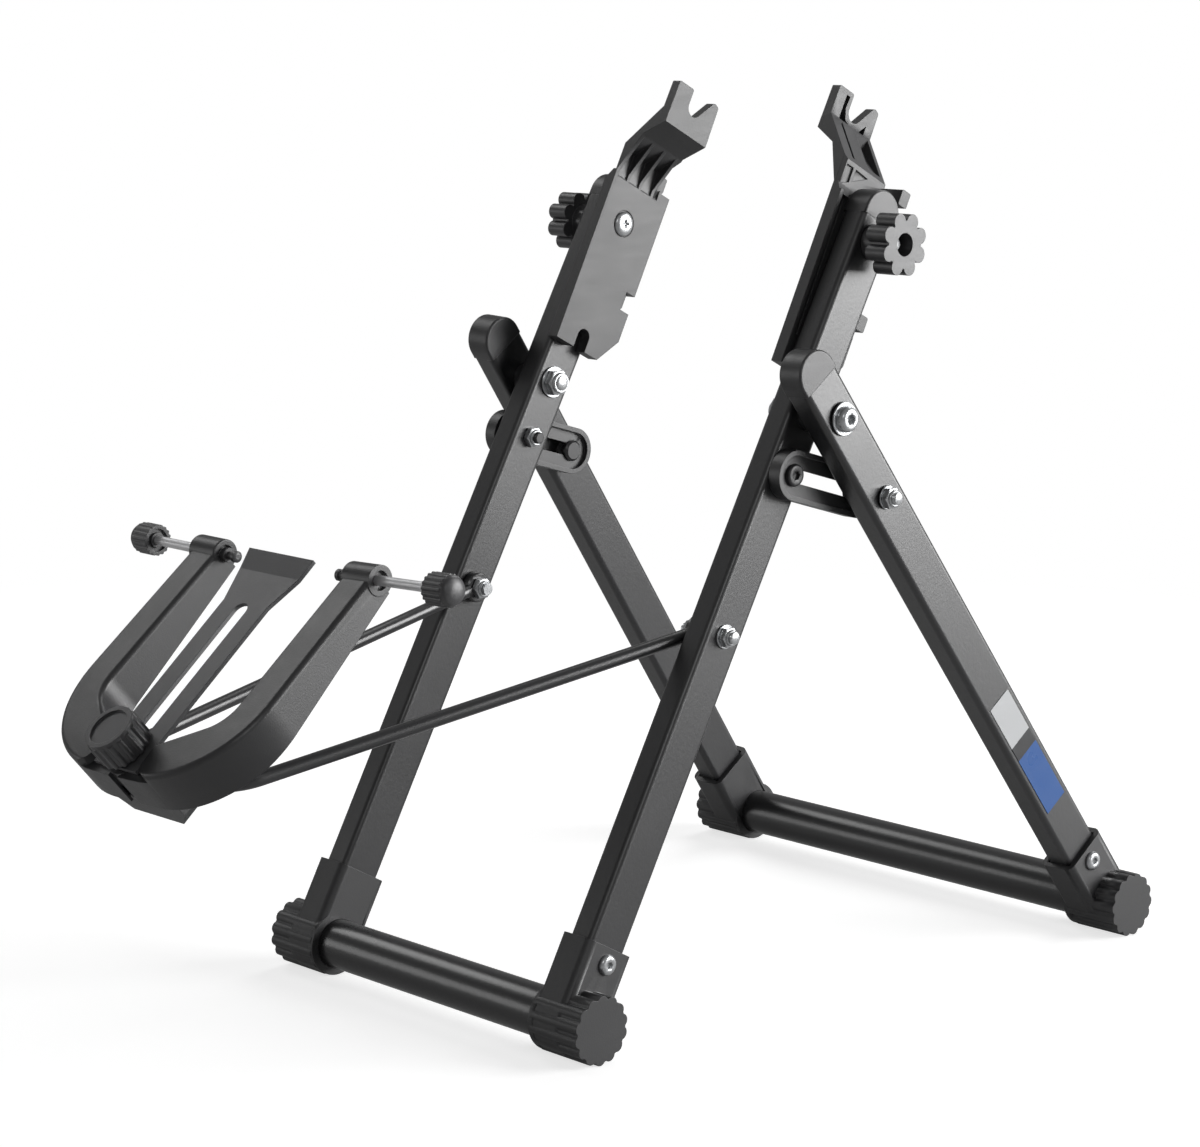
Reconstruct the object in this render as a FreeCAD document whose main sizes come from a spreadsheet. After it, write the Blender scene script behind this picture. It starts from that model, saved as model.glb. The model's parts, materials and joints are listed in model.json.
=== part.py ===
"""Folding truing stand for bicycle wheels, built as separate pieces in one frame.

Axes: X runs side to side along the wheel axle, Y from the front feet to the rear
feet, Z up.  The origin lies on the ground under the front cross tube, half way
between the two sides.  Lengths are millimetres, angles are degrees.
"""
import FreeCAD, Part

import math
import os
import re

import Sketcher
from FreeCAD import Placement, Rotation, Vector

# ---------------------------------------------------------------- driving sizes
SIZES = (
    # name, value, what it sets
    ("tube_width", 15.0, "leg tube, side to side"),
    ("tube_depth", 25.0, "leg tube, front to back"),
    ("tube_wall", 1.5, "leg tube wall"),
    ("tube_corner", 3.0, "leg tube outer corner radius"),
    ("upright_centre", 92.5, "middle of an upright from the middle of the stand"),
    ("upright_end", 422.0, "top of the upright tube, measured along it"),
    ("pivot_back", 154.4, "folding pivot behind the front cross tube"),
    ("pivot_rise", 277.2, "folding pivot above the front cross tube"),
    ("feet_apart", 353.4, "front cross tube to rear cross tube"),
    ("leg_gap", 8.0, "upright to rear leg at the folding pivot"),
    ("rear_splay", 17.7, "how far a rear leg spreads outward down to its foot"),
    ("rear_leg_top", 23.0, "rear leg tube beyond the folding pivot"),
    ("cross_radius", 12.5, "cross tube outer radius"),
    ("cross_wall", 1.5, "cross tube wall"),
    ("cross_seat", 12.0, "cross tube beyond the leg's middle, into its foot"),
    ("foot_radius", 17.0, "foot, to the top of its lobes"),
    ("foot_lobes", 14, "lobes round a foot"),
    ("foot_lobe_radius", 3.4, "one lobe of a foot"),
    ("foot_outer", 22.9, "foot face beyond the leg's middle"),
    ("foot_inner", 10.6, "foot collar inside the leg's middle"),
    ("collar_length", 3.0, "smooth collar at the inner end of a foot"),
    ("collar_step", 0.3, "collar below the top of the lobes"),
    ("saddle_step", 0.6, "saddle under the leg below the top of the lobes"),
    ("socket_wall", 3.2, "wall of the socket round a leg"),
    ("socket_top", 38.5, "top of the socket along the leg"),
    ("socket_floor", 14.0, "floor of the socket along the leg"),
    ("foot_screw_rise", 30.5, "foot screw along the leg"),
    ("play", 0.1, "clearance of a pushed-together joint"),
    ("running_fit", 0.05, "radial clearance of a turning joint"),
    ("cap_skirt", 4.0, "straight part of a tube cap"),
    ("cap_plug", 6.5, "plug of a tube cap inside its tube"),
    ("cap_edge", 1.2, "rounded edge of a tube cap"),
    ("pivot_radius", 4.0, "folding pivot bolt"),
    ("pivot_washer_radius", 8.4, "folding pivot washer"),
    ("pivot_washer_thick", 1.2, "folding pivot washer"),
    ("spacer_radius", 8.0, "spacer on the folding pivot"),
    ("splay_relief", 0.5, "room beside a splayed leg at its pivot"),
    ("small_bolt_radius", 3.0, "bolts of the links, brackets and swing arm"),
    ("small_nut_flats", 10.0, "nut of a small bolt across its flats"),
    ("small_nut_height", 5.0, "nut of a small bolt"),
    ("small_washer_radius", 6.0, "washer of a small bolt"),
    ("small_washer_thick", 1.0, "washer of a small bolt"),
    ("foot_screw_radius", 2.4, "foot screw"),
    ("foot_screw_head", 5.1, "foot screw head radius"),
    ("foot_screw_height", 2.4, "foot screw head"),
    ("link_below", 32.1, "link bolt in the upright, below the folding pivot"),
    ("link_drop", 51.1, "link bolt in the rear leg, below the folding pivot"),
    ("link_radius", 12.5, "round end of a link"),
    ("link_thick", 7.2, "link"),
    ("link_clear", 0.4, "link to the faces beside it"),
    ("link_rim", 2.6, "raised rim round a link"),
    ("link_recess", 2.4, "depth of a link's track on each face"),
    ("link_slot_radius", 3.4, "half width of a link's slot"),
    ("swing_rise", 199.0, "swing arm pivot along the upright"),
    ("rod_radius", 3.5, "swing arm rod"),
    ("rod_half_width", 45.0, "half width of the swing arm at its front"),
    ("rod_reach", 263.2, "swing arm pivot to its front bar"),
    ("rod_bend", 20.0, "bend radius of the rod at its front corners"),
    ("rod_tilt", 9.1, "tilt of the swing arm, down towards the front"),
    ("eye_radius", 8.0, "flattened eye of the rod"),
    ("eye_thick", 5.0, "flattened eye of the rod"),
    ("clamp_side", 1.6, "clamp bolt beside the middle of the stand"),
    ("clamp_reach", 7.1, "clamp bolt in front of the rod's front bar"),
    ("clamp_tilt", 40.8, "tilt of the caliper's faces"),
    ("clamp_over_rod", 23.0, "top of the jaws above the rod's front bar"),
    ("jaw_foot", 19.0, "underside of a jaw below the gauge's seat, at its hub"),
    ("jaw_crest", 4.5, "upper face of a jaw above the gauge's seat, at its hub"),
    ("jaw_fall", 4.2, "fall of a jaw's upper face from its hub to its boss"),
    ("jaw_taper", 6.0, "rise of a jaw's underside from its hub to its boss"),
    ("jaw_hub", 12.4, "hub of a jaw round the clamp bolt"),
    ("jaw_hub_gap", 0.6, "room round the other jaw's hub"),
    ("jaw_lap", 9.5, "split of the lap joint below the gauge's seat"),
    ("jaw_lap_gap", 0.3, "room between the two halves of the lap joint"),
    ("jaw_bow_side", 17.4, "bow centre of a jaw beside the clamp bolt"),
    ("jaw_bow_up", 37.0, "bow centre of a jaw above the clamp bolt"),
    ("jaw_bow_radius", 51.0, "outer radius of a jaw's bow"),
    ("jaw_inside", 47.9, "inner face of a jaw's arm at the bow"),
    ("jaw_inside_end", 49.4, "inner face of a jaw's arm at its boss"),
    ("jaw_crook_up", 24.3, "inner corner of a jaw above the clamp bolt"),
    ("jaw_crook_radius", 18.0, "rounding of a jaw's inner corner"),
    ("jaw_throat", 3.8, "inner edge of the bow in front of the clamp bolt"),
    ("jaw_seam", 3.0, "start of a jaw's bow beside the clamp bolt"),
    ("jaw_cheek", 18.0, "raised end of a jaw beside the clamp bolt"),
    ("jaw_cheek_low", 10.0, "foot of that raised end in front of the clamp bolt"),
    ("jaw_cheek_radius", 7.0, "rounding of that raised end"),
    ("jaw_edge", 2.6, "rounded upper edge of a jaw"),
    ("jaw_rest_right", 2.7, "how far the right jaw is swung inward"),
    ("jaw_rest_left", 0.2, "how far the left jaw is swung inward"),
    ("boss_up", 117.0, "feeler boss above the clamp bolt"),
    ("boss_sink", 4.5, "feeler axis below the gauge's seat"),
    ("boss_radius", 7.3, "feeler boss"),
    ("boss_inner", 49.6, "inner face of a feeler boss from the middle"),
    ("boss_outer", 68.9, "outer face of a feeler boss from the middle"),
    ("boss_recess", 2.2, "counterbore at each end of a feeler boss"),
    ("boss_recess_radius", 4.6, "counterbore at each end of a feeler boss"),
    ("feeler_radius", 2.4, "feeler screw"),
    ("feeler_travel", 24.0, "how far a feeler screws in"),
    ("feeler_knob_radius", 7.7, "feeler knob over its ribs"),
    ("feeler_knob_inner", 104.2, "inner face of a feeler knob from the middle"),
    ("feeler_knob_outer", 120.0, "outer end of a feeler knob from the middle"),
    ("feeler_ribs", 18, "ribs round a feeler knob"),
    ("nib_radius", 3.6, "collar of a feeler nib"),
    ("nib_point", 2.8, "point of a feeler nib"),
    ("nib_collar", 3.0, "length of a feeler nib's collar"),
    ("nib_length", 9.6, "length of a feeler nib"),
    ("gauge_thick", 2.0, "centre gauge plate"),
    ("gauge_lift", 0.4, "centre gauge above the jaws"),
    ("gauge_half", 16.0, "half width of the gauge's body"),
    ("gauge_flare", 24.0, "half width of the gauge's upper edge"),
    ("gauge_low", 10.0, "gauge below the clamp bolt"),
    ("gauge_neck", 88.5, "gauge's neck above the clamp bolt"),
    ("gauge_fold", 107.0, "fold of the gauge above the clamp bolt"),
    ("gauge_tip", 11.2, "folded tip of the gauge"),
    ("gauge_tip_rise", 1.6, "rise of the folded tip"),
    ("gauge_slot", 4.5, "half width of the gauge's slot"),
    ("clamp_bolt_radius", 3.0, "clamp bolt"),
    ("clamp_knob_radius", 13.0, "clamp knob over its ribs"),
    ("clamp_knob_height", 14.6, "clamp knob"),
    ("clamp_knob_lift", 1.3, "washer under the clamp knob"),
    ("clamp_knob_ribs", 16, "ribs round the clamp knob"),
    ("block_top_half", 27.0, "half width of the base block at its top"),
    ("block_low_half", 19.0, "half width of the base block at its foot"),
    ("block_front", 10.0, "base block below the clamp bolt"),
    ("block_back", 16.0, "base block above the clamp bolt"),
    ("block_depth", 14.6, "base block below the jaws"),
    ("bracket_tilt", 2.1, "forward lean of a bracket from the upright"),
    ("bracket_standoff", 6.8, "bracket face inside the upright"),
    ("bracket_face", 3.0, "face of the bracket"),
    ("bracket_wall", 2.4, "walls and ribs of the bracket"),
    ("bracket_front", 18.0, "bracket in front of its bolt"),
    ("bracket_back", 25.3, "bracket behind its bolt"),
    ("bracket_foot", 72.8, "foot of the bracket below its bolt"),
    ("bracket_step", 24.5, "start of the bracket's ribs above its bolt"),
    ("bracket_crest", 37.3, "outer crest of the bracket above its bolt"),
    ("bracket_crest_side", 80.7, "outer crest of the bracket from the middle"),
    ("bracket_chamfer", 1.8, "chamfer on the front corner of the bracket's crest"),
    ("bracket_bolt_below", 11.0, "bracket bolt below the top of the upright's tube"),
    ("bracket_head_radius", 6.6, "domed head of the bracket bolt"),
    ("bracket_head_height", 2.6, "domed head of the bracket bolt"),
    ("tab_low", -36.8, "lower locating tab above the bracket's bolt"),
    ("tab_high", 31.0, "upper locating tab above the bracket's bolt"),
    ("tab_height", 8.2, "locating tab"),
    ("tab_reach", 10.0, "locating tab beyond the upright's inner face"),
    ("tab_start", 13.9, "front of a locating tab behind the bracket's bolt"),
    ("tab_thick", 6.6, "locating tab, front to back"),
    ("notch_radius", 4.4, "round notch at the foot of the bracket"),
    ("dropout_inner", 54.6, "inner face of a dropout from the middle"),
    ("dropout_thick", 5.4, "dropout plate"),
    ("dropout_back", 15.6, "dropout plate behind the bracket's bolt"),
    ("dropout_foot", 53.0, "foot of the dropout plate above the bracket's bolt"),
    ("dropout_tip", 76.8, "tip of the dropout plate above the bracket's bolt"),
    ("axle_rise", 68.7, "axle seat above the bracket's bolt"),
    ("axle_back", -0.9, "axle seat behind the bracket's bolt"),
    ("axle_radius", 5.1, "axle seat"),
    ("label_start", 74.0, "lower end of the leg's label plate, measured along the leg"),
    ("label_length", 76.0, "label plate"),
    ("label_width", 16.5, "label plate"),
    ("label_thick", 0.3, "label plate"),
    ("star_radius", 16.0, "star knob over its lobes"),
    ("star_lobes", 8, "lobes of a star knob"),
    ("star_lobe_radius", 4.1, "one lobe of a star knob"),
    ("star_thick", 12.4, "star knob's head"),
    ("star_hub_length", 8.6, "star knob's hub"),
    ("star_hub_radius", 9.0, "star knob's hub"),
    ("star_hole", 5.75, "open centre of a star knob"),
)

DOC = FreeCAD.newDocument("truing_stand")
SHEET = DOC.addObject("Spreadsheet::Sheet", "Sizes")
for row, (alias, value, note) in enumerate(SIZES, start=1):
    SHEET.set(f"A{row}", note)
    SHEET.set(f"B{row}", str(value))
    SHEET.setAlias(f"B{row}", alias)
DOC.recompute()

ALIASES = re.compile(r"\b(" + "|".join(alias for alias, value, note in SIZES) + r")\b")
PARTS = []
SAME_PLACE = 0.01  # two places nearer than this are one place


# ---------------------------------------------------------------- small helpers
def size(alias):
    """Return the number that a cell of the sheet holds."""
    return float(SHEET.get(alias))


def bound(expression):
    """Return an expression in which every size name points at the sheet."""
    return ALIASES.sub(r"Sizes.\1", expression)


def bind(item, prop, expression):
    """Tie a property to the sheet."""
    item.setExpression(prop, bound(expression))


def number(expression):
    """Return what an expression comes to now."""
    return float(SHEET.evalExpression(bound(expression)))


def body(name):
    """Start a PartDesign body whose label is the node's name."""
    item = DOC.addObject("PartDesign::Body", name)
    item.Label = name
    return item


def sketch(owner, plane, offset="0", tilt=0.0, shift="0"):
    """Put an empty sketch on an origin plane, moved along the plane's normal.

    A tilt turns it about the part's Y axis, and a shift moves it along the plane's first axis.
    """
    item = owner.newObject("Sketcher::SketchObject", owner.Name + "_sketch")
    roles = {feature.Role: feature for feature in owner.Origin.OriginFeatures}
    item.AttachmentSupport = [(roles[plane + "_Plane"], "")]
    item.MapMode = "FlatFace"
    hinge = Vector(1, 0, 0) if plane == "YZ" else Vector(0, 1, 0)
    item.AttachmentOffset = Placement(Vector(0, 0, 0), Rotation(hinge, tilt))
    bind(item, "AttachmentOffset.Base.z", offset)
    bind(item, "AttachmentOffset.Base.x", shift)
    return item


def pin_point(item, index, point, x, y):
    """Fix one point of a sketch's geometry at two bound distances from its origin."""
    for kind, expression in (("DistanceX", x), ("DistanceY", y)):
        start = number(expression)
        limit = item.addConstraint(Sketcher.Constraint(kind, -1, 1, index, point, start))
        bind(item, f"Constraints[{limit}]", expression)


def draw_circle(item, x, y, radius):
    """Draw a circle with a bound centre and radius."""
    centre = Vector(number(x), number(y), 0)
    index = item.addGeometry(Part.Circle(centre, Vector(0, 0, 1), number(radius)), False)
    pin_point(item, index, 3, x, y)
    limit = item.addConstraint(Sketcher.Constraint("Radius", index, number(radius)))
    bind(item, f"Constraints[{limit}]", radius)


def draw_outline(item, corners):
    """Draw a closed outline through bound corners, each (x, y) or (x, y, rounding radius)."""
    count = len(corners)
    places = [Vector(number(corner[0]), number(corner[1]), 0) for corner in corners]
    arrive = list(places)
    leave = list(places)
    for k, corner in enumerate(corners):
        if len(corner) == 3:
            back = (places[k - 1] - places[k]).normalize()
            ahead = (places[(k + 1) % count] - places[k]).normalize()
            reach = number(corner[2]) / math.tan(back.getAngle(ahead) / 2)
            arrive[k] = places[k] + back * reach
            leave[k] = places[k] + ahead * reach
    start = item.GeometryCount
    for k in range(count):
        item.addGeometry(Part.LineSegment(leave[k], arrive[(k + 1) % count]), False)
    for k, corner in enumerate(corners):
        before = start + (k - 1) % count
        after = start + k
        if len(corner) == 2:
            item.addConstraint(Sketcher.Constraint("Coincident", before, 2, after, 1))
            pin_point(item, after, 1, corner[0], corner[1])
        else:
            round_corner(item, corner, (places[k], arrive[k], leave[k]), before, after)


def round_corner(item, corner, places, before, after):
    """Join two lines of a sketch by a tangent arc whose sharp corner and radius are bound."""
    x, y, radius = corner
    place, first, last = places
    middle = (first + last) * 0.5
    back = first - place
    centre = place + (middle - place) * (back.Length ** 2 / (middle - place).dot(back))
    begin = math.atan2(first.y - centre.y, first.x - centre.x)
    end = math.atan2(last.y - centre.y, last.x - centre.x)
    leftward = (first - centre).cross(last - centre).z > 0
    angles = (begin, end) if leftward else (end, begin)
    circle = Part.Circle(centre, Vector(0, 0, 1), number(radius))
    arc = item.addGeometry(Part.ArcOfCircle(circle, angles[0], angles[1]), False)
    ends = (1, 2) if leftward else (2, 1)
    item.addConstraint(Sketcher.Constraint("Tangent", before, 2, arc, ends[0]))
    item.addConstraint(Sketcher.Constraint("Tangent", after, 1, arc, ends[1]))
    limit = item.addConstraint(Sketcher.Constraint("Radius", arc, number(radius)))
    bind(item, f"Constraints[{limit}]", radius)
    point = item.addGeometry(Part.Point(place), True)
    pin_point(item, point, 1, x, y)
    item.addConstraint(Sketcher.Constraint("PointOnObject", point, 1, before))
    item.addConstraint(Sketcher.Constraint("PointOnObject", point, 1, after))


def draw_rectangle(item, left, right, low, high, *rounding):
    """Draw a rectangle between bound sides, with its corners rounded if a radius follows."""
    corners = [(left, low), (right, low), (right, high), (left, high)]
    draw_outline(item, [corner + rounding for corner in corners])


def pad(owner, item, length):
    """Raise a sketch along its normal."""
    feature = owner.newObject("PartDesign::Pad", owner.Name + "_pad")
    feature.Profile = item
    bind(feature, "Length", length)
    return settle(owner, feature)


def pocket(owner, item, length):
    """Cut a sketch into the body, against its normal, and check that it cuts."""
    before = owner.Shape.Volume
    feature = owner.newObject("PartDesign::Pocket", owner.Name + "_pocket")
    feature.Profile = item
    bind(feature, "Length", length)
    settle(owner, feature)
    if not owner.Shape.Volume < before:
        raise RuntimeError(f"{owner.Label}: a pocket cuts nothing")
    return feature


def revolve(owner, item, axis, angle=360, backwards=False):
    """Turn a sketch about one of its own axes."""
    feature = owner.newObject("PartDesign::Revolution", owner.Name + "_turn")
    feature.Profile = item
    feature.ReferenceAxis = (item, [axis])
    feature.Angle = angle
    feature.Reversed = backwards
    return settle(owner, feature)


def repeat(owner, features, role, count):
    """Repeat features a bound number of times round an origin axis."""
    pattern = owner.newObject("PartDesign::PolarPattern", owner.Name + "_ring")
    axes = {feature.Role: feature for feature in owner.Origin.OriginFeatures}
    pattern.Originals = features
    pattern.Axis = (axes[role + "_Axis"], [""])
    pattern.Angle = 360
    bind(pattern, "Occurrences", count)
    return settle(owner, pattern)


def round_off(owner, chosen, radius):
    """Fillet the edges that a test picks from the body."""
    base = owner.Tip
    names = [f"Edge{k}" for k, edge in enumerate(base.Shape.Edges, start=1) if chosen(edge)]
    feature = owner.newObject("PartDesign::Fillet", owner.Name + "_round")
    feature.Base = (base, names)
    bind(feature, "Radius", radius)
    return settle(owner, feature)


def settle(owner, feature):
    """Make a feature the body's last one and work it out."""
    owner.Tip = feature
    DOC.recompute()
    return feature


def runs_along(edge, direction):
    """Tell whether an edge is a straight line along a direction."""
    if edge.Curve.TypeId != "Part::GeomLine":
        return False
    return abs(edge.Curve.Direction.dot(direction)) > 0.999


def lies_at(edge, axis, place):
    """Tell whether a whole edge lies at one place along X, Y or Z."""
    low, high = (getattr(edge.BoundBox, axis + end) for end in ("Min", "Max"))
    return abs(low - place) < SAME_PLACE and abs(high - place) < SAME_PLACE


def keep(item, placement=None):
    """List a finished sub-part, and place it."""
    if placement is not None:
        item.Placement = placement
    PARTS.append(item)
    return item


def mirrored(source, name):
    """Make the left-hand twin of a right-hand sub-part."""
    twin = DOC.addObject("Part::Mirroring", name)
    twin.Label = name
    twin.Source = source
    twin.Normal = (1, 0, 0)
    return keep(twin)


def both_sides(source, side_name):
    """Keep a right-hand sub-part and its left-hand twin."""
    source.Label = side_name + "_right"
    return [keep(source), mirrored(source, side_name + "_left")]


def grouped(name, pieces, with_twins=True):
    """Keep loose fasteners as one node, each with its twin on the left."""
    links = list(pieces)
    if with_twins:
        for piece in pieces:
            twin = DOC.addObject("Part::Mirroring", piece.Name + "_twin")
            twin.Source = piece
            twin.Normal = (1, 0, 0)
            links.append(twin)
    group = DOC.addObject("Part::Compound", name)
    group.Label = name
    group.Links = links
    return keep(group)


def turned(name, profile):
    """Turn a profile of (place along X, radius) about the X axis."""
    item = body(name)
    outline = sketch(item, "XY")
    draw_outline(outline, profile)
    revolve(item, outline, "H_Axis")
    return item


def turned_upright(name, profile):
    """Turn a profile of (radius, height) about the Z axis."""
    item = body(name)
    outline = sketch(item, "XZ")
    draw_outline(outline, profile)
    revolve(item, outline, "V_Axis")
    return item


def hex_cut(item, start, depth, flats):
    """Cut a hexagon socket into a turned piece, from its face at start, towards -X."""
    outline = sketch(item, "YZ", start)
    corner = f"({flats}) / 2 / cos(30)"
    draw_outline(outline, [(f"{corner} * {math.cos(math.radians(60 * k))}",
                            f"{corner} * {math.sin(math.radians(60 * k))}") for k in range(6)])
    pocket(item, outline, depth)


def hex_nut(name, start, height, flats, bore):
    """Make a hexagon nut whose bore runs along X, from start outwards."""
    item = body(name)
    outline = sketch(item, "YZ", start)
    corner = f"({flats}) / 2 / cos(30)"
    draw_outline(outline, [(f"{corner} * {math.cos(math.radians(60 * k))}",
                            f"{corner} * {math.sin(math.radians(60 * k))}") for k in range(6)])
    draw_circle(outline, "0", "0", bore)
    pad(item, outline, height)
    return item


def bore_across(item, reach_from, reach_to, y, z, radius):
    """Cut a round hole along X between two places."""
    outline = sketch(item, "YZ", reach_to)
    draw_circle(outline, y, z, radius)
    return pocket(item, outline, f"({reach_to}) - ({reach_from})")


# ---------------------------------------------------------------- shared frames
GROUND = size("foot_radius")
UPRIGHT_LENGTH = math.hypot(size("pivot_back"), size("pivot_rise"))
UPRIGHT_LEAN = math.degrees(math.atan2(size("pivot_back"), size("pivot_rise")))
REAR_RUN = size("feet_apart") - size("pivot_back")
REAR_LENGTH = math.hypot(REAR_RUN, size("pivot_rise"))
REAR_LEAN = math.degrees(math.atan2(REAR_RUN, size("pivot_rise")))
REAR_CENTRE = size("upright_centre") + size("tube_width") + size("leg_gap")
REAR_TILT = math.degrees(math.atan2(size("rear_splay"), REAR_LENGTH))
REAR_SLANT = math.hypot(REAR_LENGTH, size("rear_splay"))
ABOUT_X = Vector(1, 0, 0)
ABOUT_Y = Vector(0, 1, 0)


def on_upright(side=0.0, along=0.0):
    """Frame with Z up along the uprights, at a place across and along them."""
    turn = Rotation(ABOUT_X, -UPRIGHT_LEAN)
    start = Vector(side, 0, GROUND) + turn.multVec(Vector(0, 0, along))
    return Placement(start, turn)


def on_rear_leg(along=0.0, splayed=True):
    """Frame with Z up along the right rear leg, from the middle of its foot."""
    lean = Rotation(ABOUT_X, REAR_LEAN)
    turn = lean.multiply(Rotation(ABOUT_Y, -REAR_TILT)) if splayed else lean
    foot = Vector(REAR_CENTRE + size("rear_splay"), size("feet_apart"), GROUND)
    return Placement(foot + turn.multVec(Vector(0, 0, along)), turn)


def on_bracket():
    """Frame on the bracket's bolt, Z up along the bracket."""
    frame = on_upright(0, number("upright_end - bracket_bolt_below"))
    return Placement(frame.Base, Rotation(ABOUT_X, size("bracket_tilt") - UPRIGHT_LEAN))


def on_swing_arm():
    """Frame at the swing arm's pivot, its Y axis running back along the arm."""
    pivot = on_upright(0, size("swing_rise")).Base
    return Placement(pivot, Rotation(ABOUT_X, size("rod_tilt")))


def on_caliper(side=0.0, up=0.0, out=0.0):
    """Frame on the clamp bolt at the top of the jaws, Y up the jaws and Z out of them."""
    turn = Rotation(ABOUT_X, size("clamp_tilt"))
    bar = on_swing_arm().multVec(Vector(0, -size("rod_reach"), 0))
    start = bar + turn.multVec(Vector(0, -size("clamp_reach"), size("clamp_over_rod")))
    start.x = size("clamp_side")
    return Placement(start + turn.multVec(Vector(side, up, out)), turn)


def on_jaw(inward, up=0.0, out=0.0):
    """Frame of a jaw that is swung about the clamp bolt."""
    frame = on_caliper()
    turn = frame.Rotation.multiply(Rotation(Vector(0, 0, 1), inward))
    return Placement(frame.Base + turn.multVec(Vector(0, up, out)), turn)


def at_pivot(side=0.0):
    """Frame on the folding pivot."""
    return Placement(Vector(side, size("pivot_back"), size("pivot_rise") + GROUND), Rotation())


# ---------------------------------------------------------------- frame pieces
def leg_tube(name, start, end, holes):
    """Rectangular tube along Z with rounded corners, open inside, with bolt holes along X."""
    item = body(name)
    outline = sketch(item, "XY", start)
    draw_rectangle(outline, "-tube_width / 2", "tube_width / 2", "-tube_depth / 2", "tube_depth / 2",
                   "tube_corner")
    half_width = "tube_width / 2 - tube_wall"
    half_depth = "tube_depth / 2 - tube_wall"
    draw_rectangle(outline, f"-({half_width})", half_width, f"-({half_depth})", half_depth,
                   "tube_corner - tube_wall")
    pad(item, outline, f"({end}) - ({start})")
    for along, radius, inner in holes:
        reach_from = "-tube_width" if inner else "0"
        bore_across(item, reach_from, "tube_width", "0", along, radius)
    return item


def cross_tube(name, half_length):
    """Round tube along X between a pair of feet."""
    item = body(name)
    outline = sketch(item, "YZ", f"-({half_length})")
    draw_circle(outline, "0", "0", "cross_radius")
    draw_circle(outline, "0", "0", "cross_radius - cross_wall")
    pad(item, outline, f"2 * ({half_length})")
    return item


def foot(name, lean_side, tilt):
    """Foot moulding: lobed body round the cross tube and a socket for the leg.

    Its Z axis is the leg's, X points outward, and lean_side is +1 or -1, the side to
    which the leg leans.  A tilt turns the socket about Y to follow a splayed leg.
    """
    item = body(name)
    half_width = "tube_width / 2 + socket_wall"
    half_depth = "tube_depth / 2 + socket_wall"
    sleeve = sketch(item, "XY", "0", tilt)
    draw_rectangle(sleeve, f"-({half_width})", half_width, f"-({half_depth})", half_depth,
                   "tube_corner + socket_wall / 2")
    pad(item, sleeve, "socket_top")
    saddle = sketch(item, "XZ")
    draw_outline(saddle, [
        (f"-({half_width})", "0"),
        (f"-({half_width})", "foot_radius - saddle_step", "socket_wall"),
        (half_width, "foot_radius - saddle_step", "socket_wall"),
        (half_width, "0"),
    ])
    revolve(item, saddle, "H_Axis", 180, lean_side < 0)
    core = sketch(item, "YZ", "-foot_inner")
    draw_circle(core, "0", "0", "foot_radius - foot_lobe_radius * 0.42")
    pad(item, core, "foot_inner + foot_outer")
    lobe = sketch(item, "YZ", "collar_length / 2 - foot_inner")
    draw_circle(lobe, "0", "foot_radius - foot_lobe_radius", "foot_lobe_radius")
    raised = pad(item, lobe, "foot_inner + foot_outer - collar_length / 2")
    repeat(item, [raised], "X", "foot_lobes")
    collar = sketch(item, "YZ", "-foot_inner")
    draw_circle(collar, "0", "0", "foot_radius - collar_step")
    pad(item, collar, "collar_length")
    axis = Rotation(ABOUT_Y, tilt).multVec(Vector(0, 0, 1))
    mouth = sketch(item, "XY", f"socket_top * {axis.z}", tilt, f"socket_top * {axis.x}")
    draw_rectangle(mouth, "-(tube_width / 2 + play)", "tube_width / 2 + play",
                   "-(tube_depth / 2 + play)", "tube_depth / 2 + play")
    pocket(item, mouth, "socket_top - socket_floor")
    seat = sketch(item, "YZ", "cross_seat")
    draw_circle(seat, "0", "0", "cross_radius + play")
    pocket(item, seat, "cross_seat + foot_inner + socket_wall")
    reach = "tube_width / 2 + socket_wall * 2"
    bore = sketch(item, "YZ", reach, tilt)
    draw_circle(bore, "0", f"foot_screw_rise - ({reach}) * ({axis.x})", "foot_screw_radius + running_fit")
    pocket(item, bore, "socket_wall * 2.5")
    return item


def tube_cap(name):
    """Half-round cap with a plug, for the end of a leg tube; Z runs out of the tube."""
    item = body(name)
    dome = sketch(item, "YZ", "-tube_width / 2")
    draw_circle(dome, "0", "cap_skirt", "tube_depth / 2")
    pad(item, dome, "tube_width")
    below = sketch(item, "YZ", "tube_width / 2")
    draw_rectangle(below, "-tube_depth / 2", "tube_depth / 2", "cap_skirt - tube_depth", "cap_skirt")
    pocket(item, below, "tube_width")
    round_off(item, lambda edge: edge.Curve.TypeId == "Part::GeomCircle", "cap_edge")
    skirt = sketch(item, "XY", "0")
    draw_rectangle(skirt, "-tube_width / 2", "tube_width / 2", "-tube_depth / 2", "tube_depth / 2",
                   "cap_edge")
    pad(item, skirt, "cap_skirt")
    plug = sketch(item, "XY", "-cap_plug")
    half_width = "tube_width / 2 - tube_wall - play"
    half_depth = "tube_depth / 2 - tube_wall - play"
    draw_rectangle(plug, f"-({half_width})", half_width, f"-({half_depth})", half_depth,
                   "tube_corner - tube_wall")
    pad(item, plug, "cap_plug + cap_skirt / 2")
    return item


def foot_screw(name):
    """Button-head screw that holds a foot to its leg; its head is outside."""
    face = "tube_width / 2 + socket_wall"
    item = turned(name, [
        (f"{face} - socket_wall * 2", "0"),
        (f"{face} - socket_wall * 2", "foot_screw_radius"),
        (face, "foot_screw_radius"),
        (face, "foot_screw_head"),
        (f"{face} + foot_screw_height * 0.45", "foot_screw_head"),
        (f"{face} + foot_screw_height", "foot_screw_head * 0.62"),
        (f"{face} + foot_screw_height", "0"),
    ])
    hex_cut(item, f"{face} + foot_screw_height", "foot_screw_height * 0.7", "foot_screw_radius * 1.3")
    return item


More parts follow.
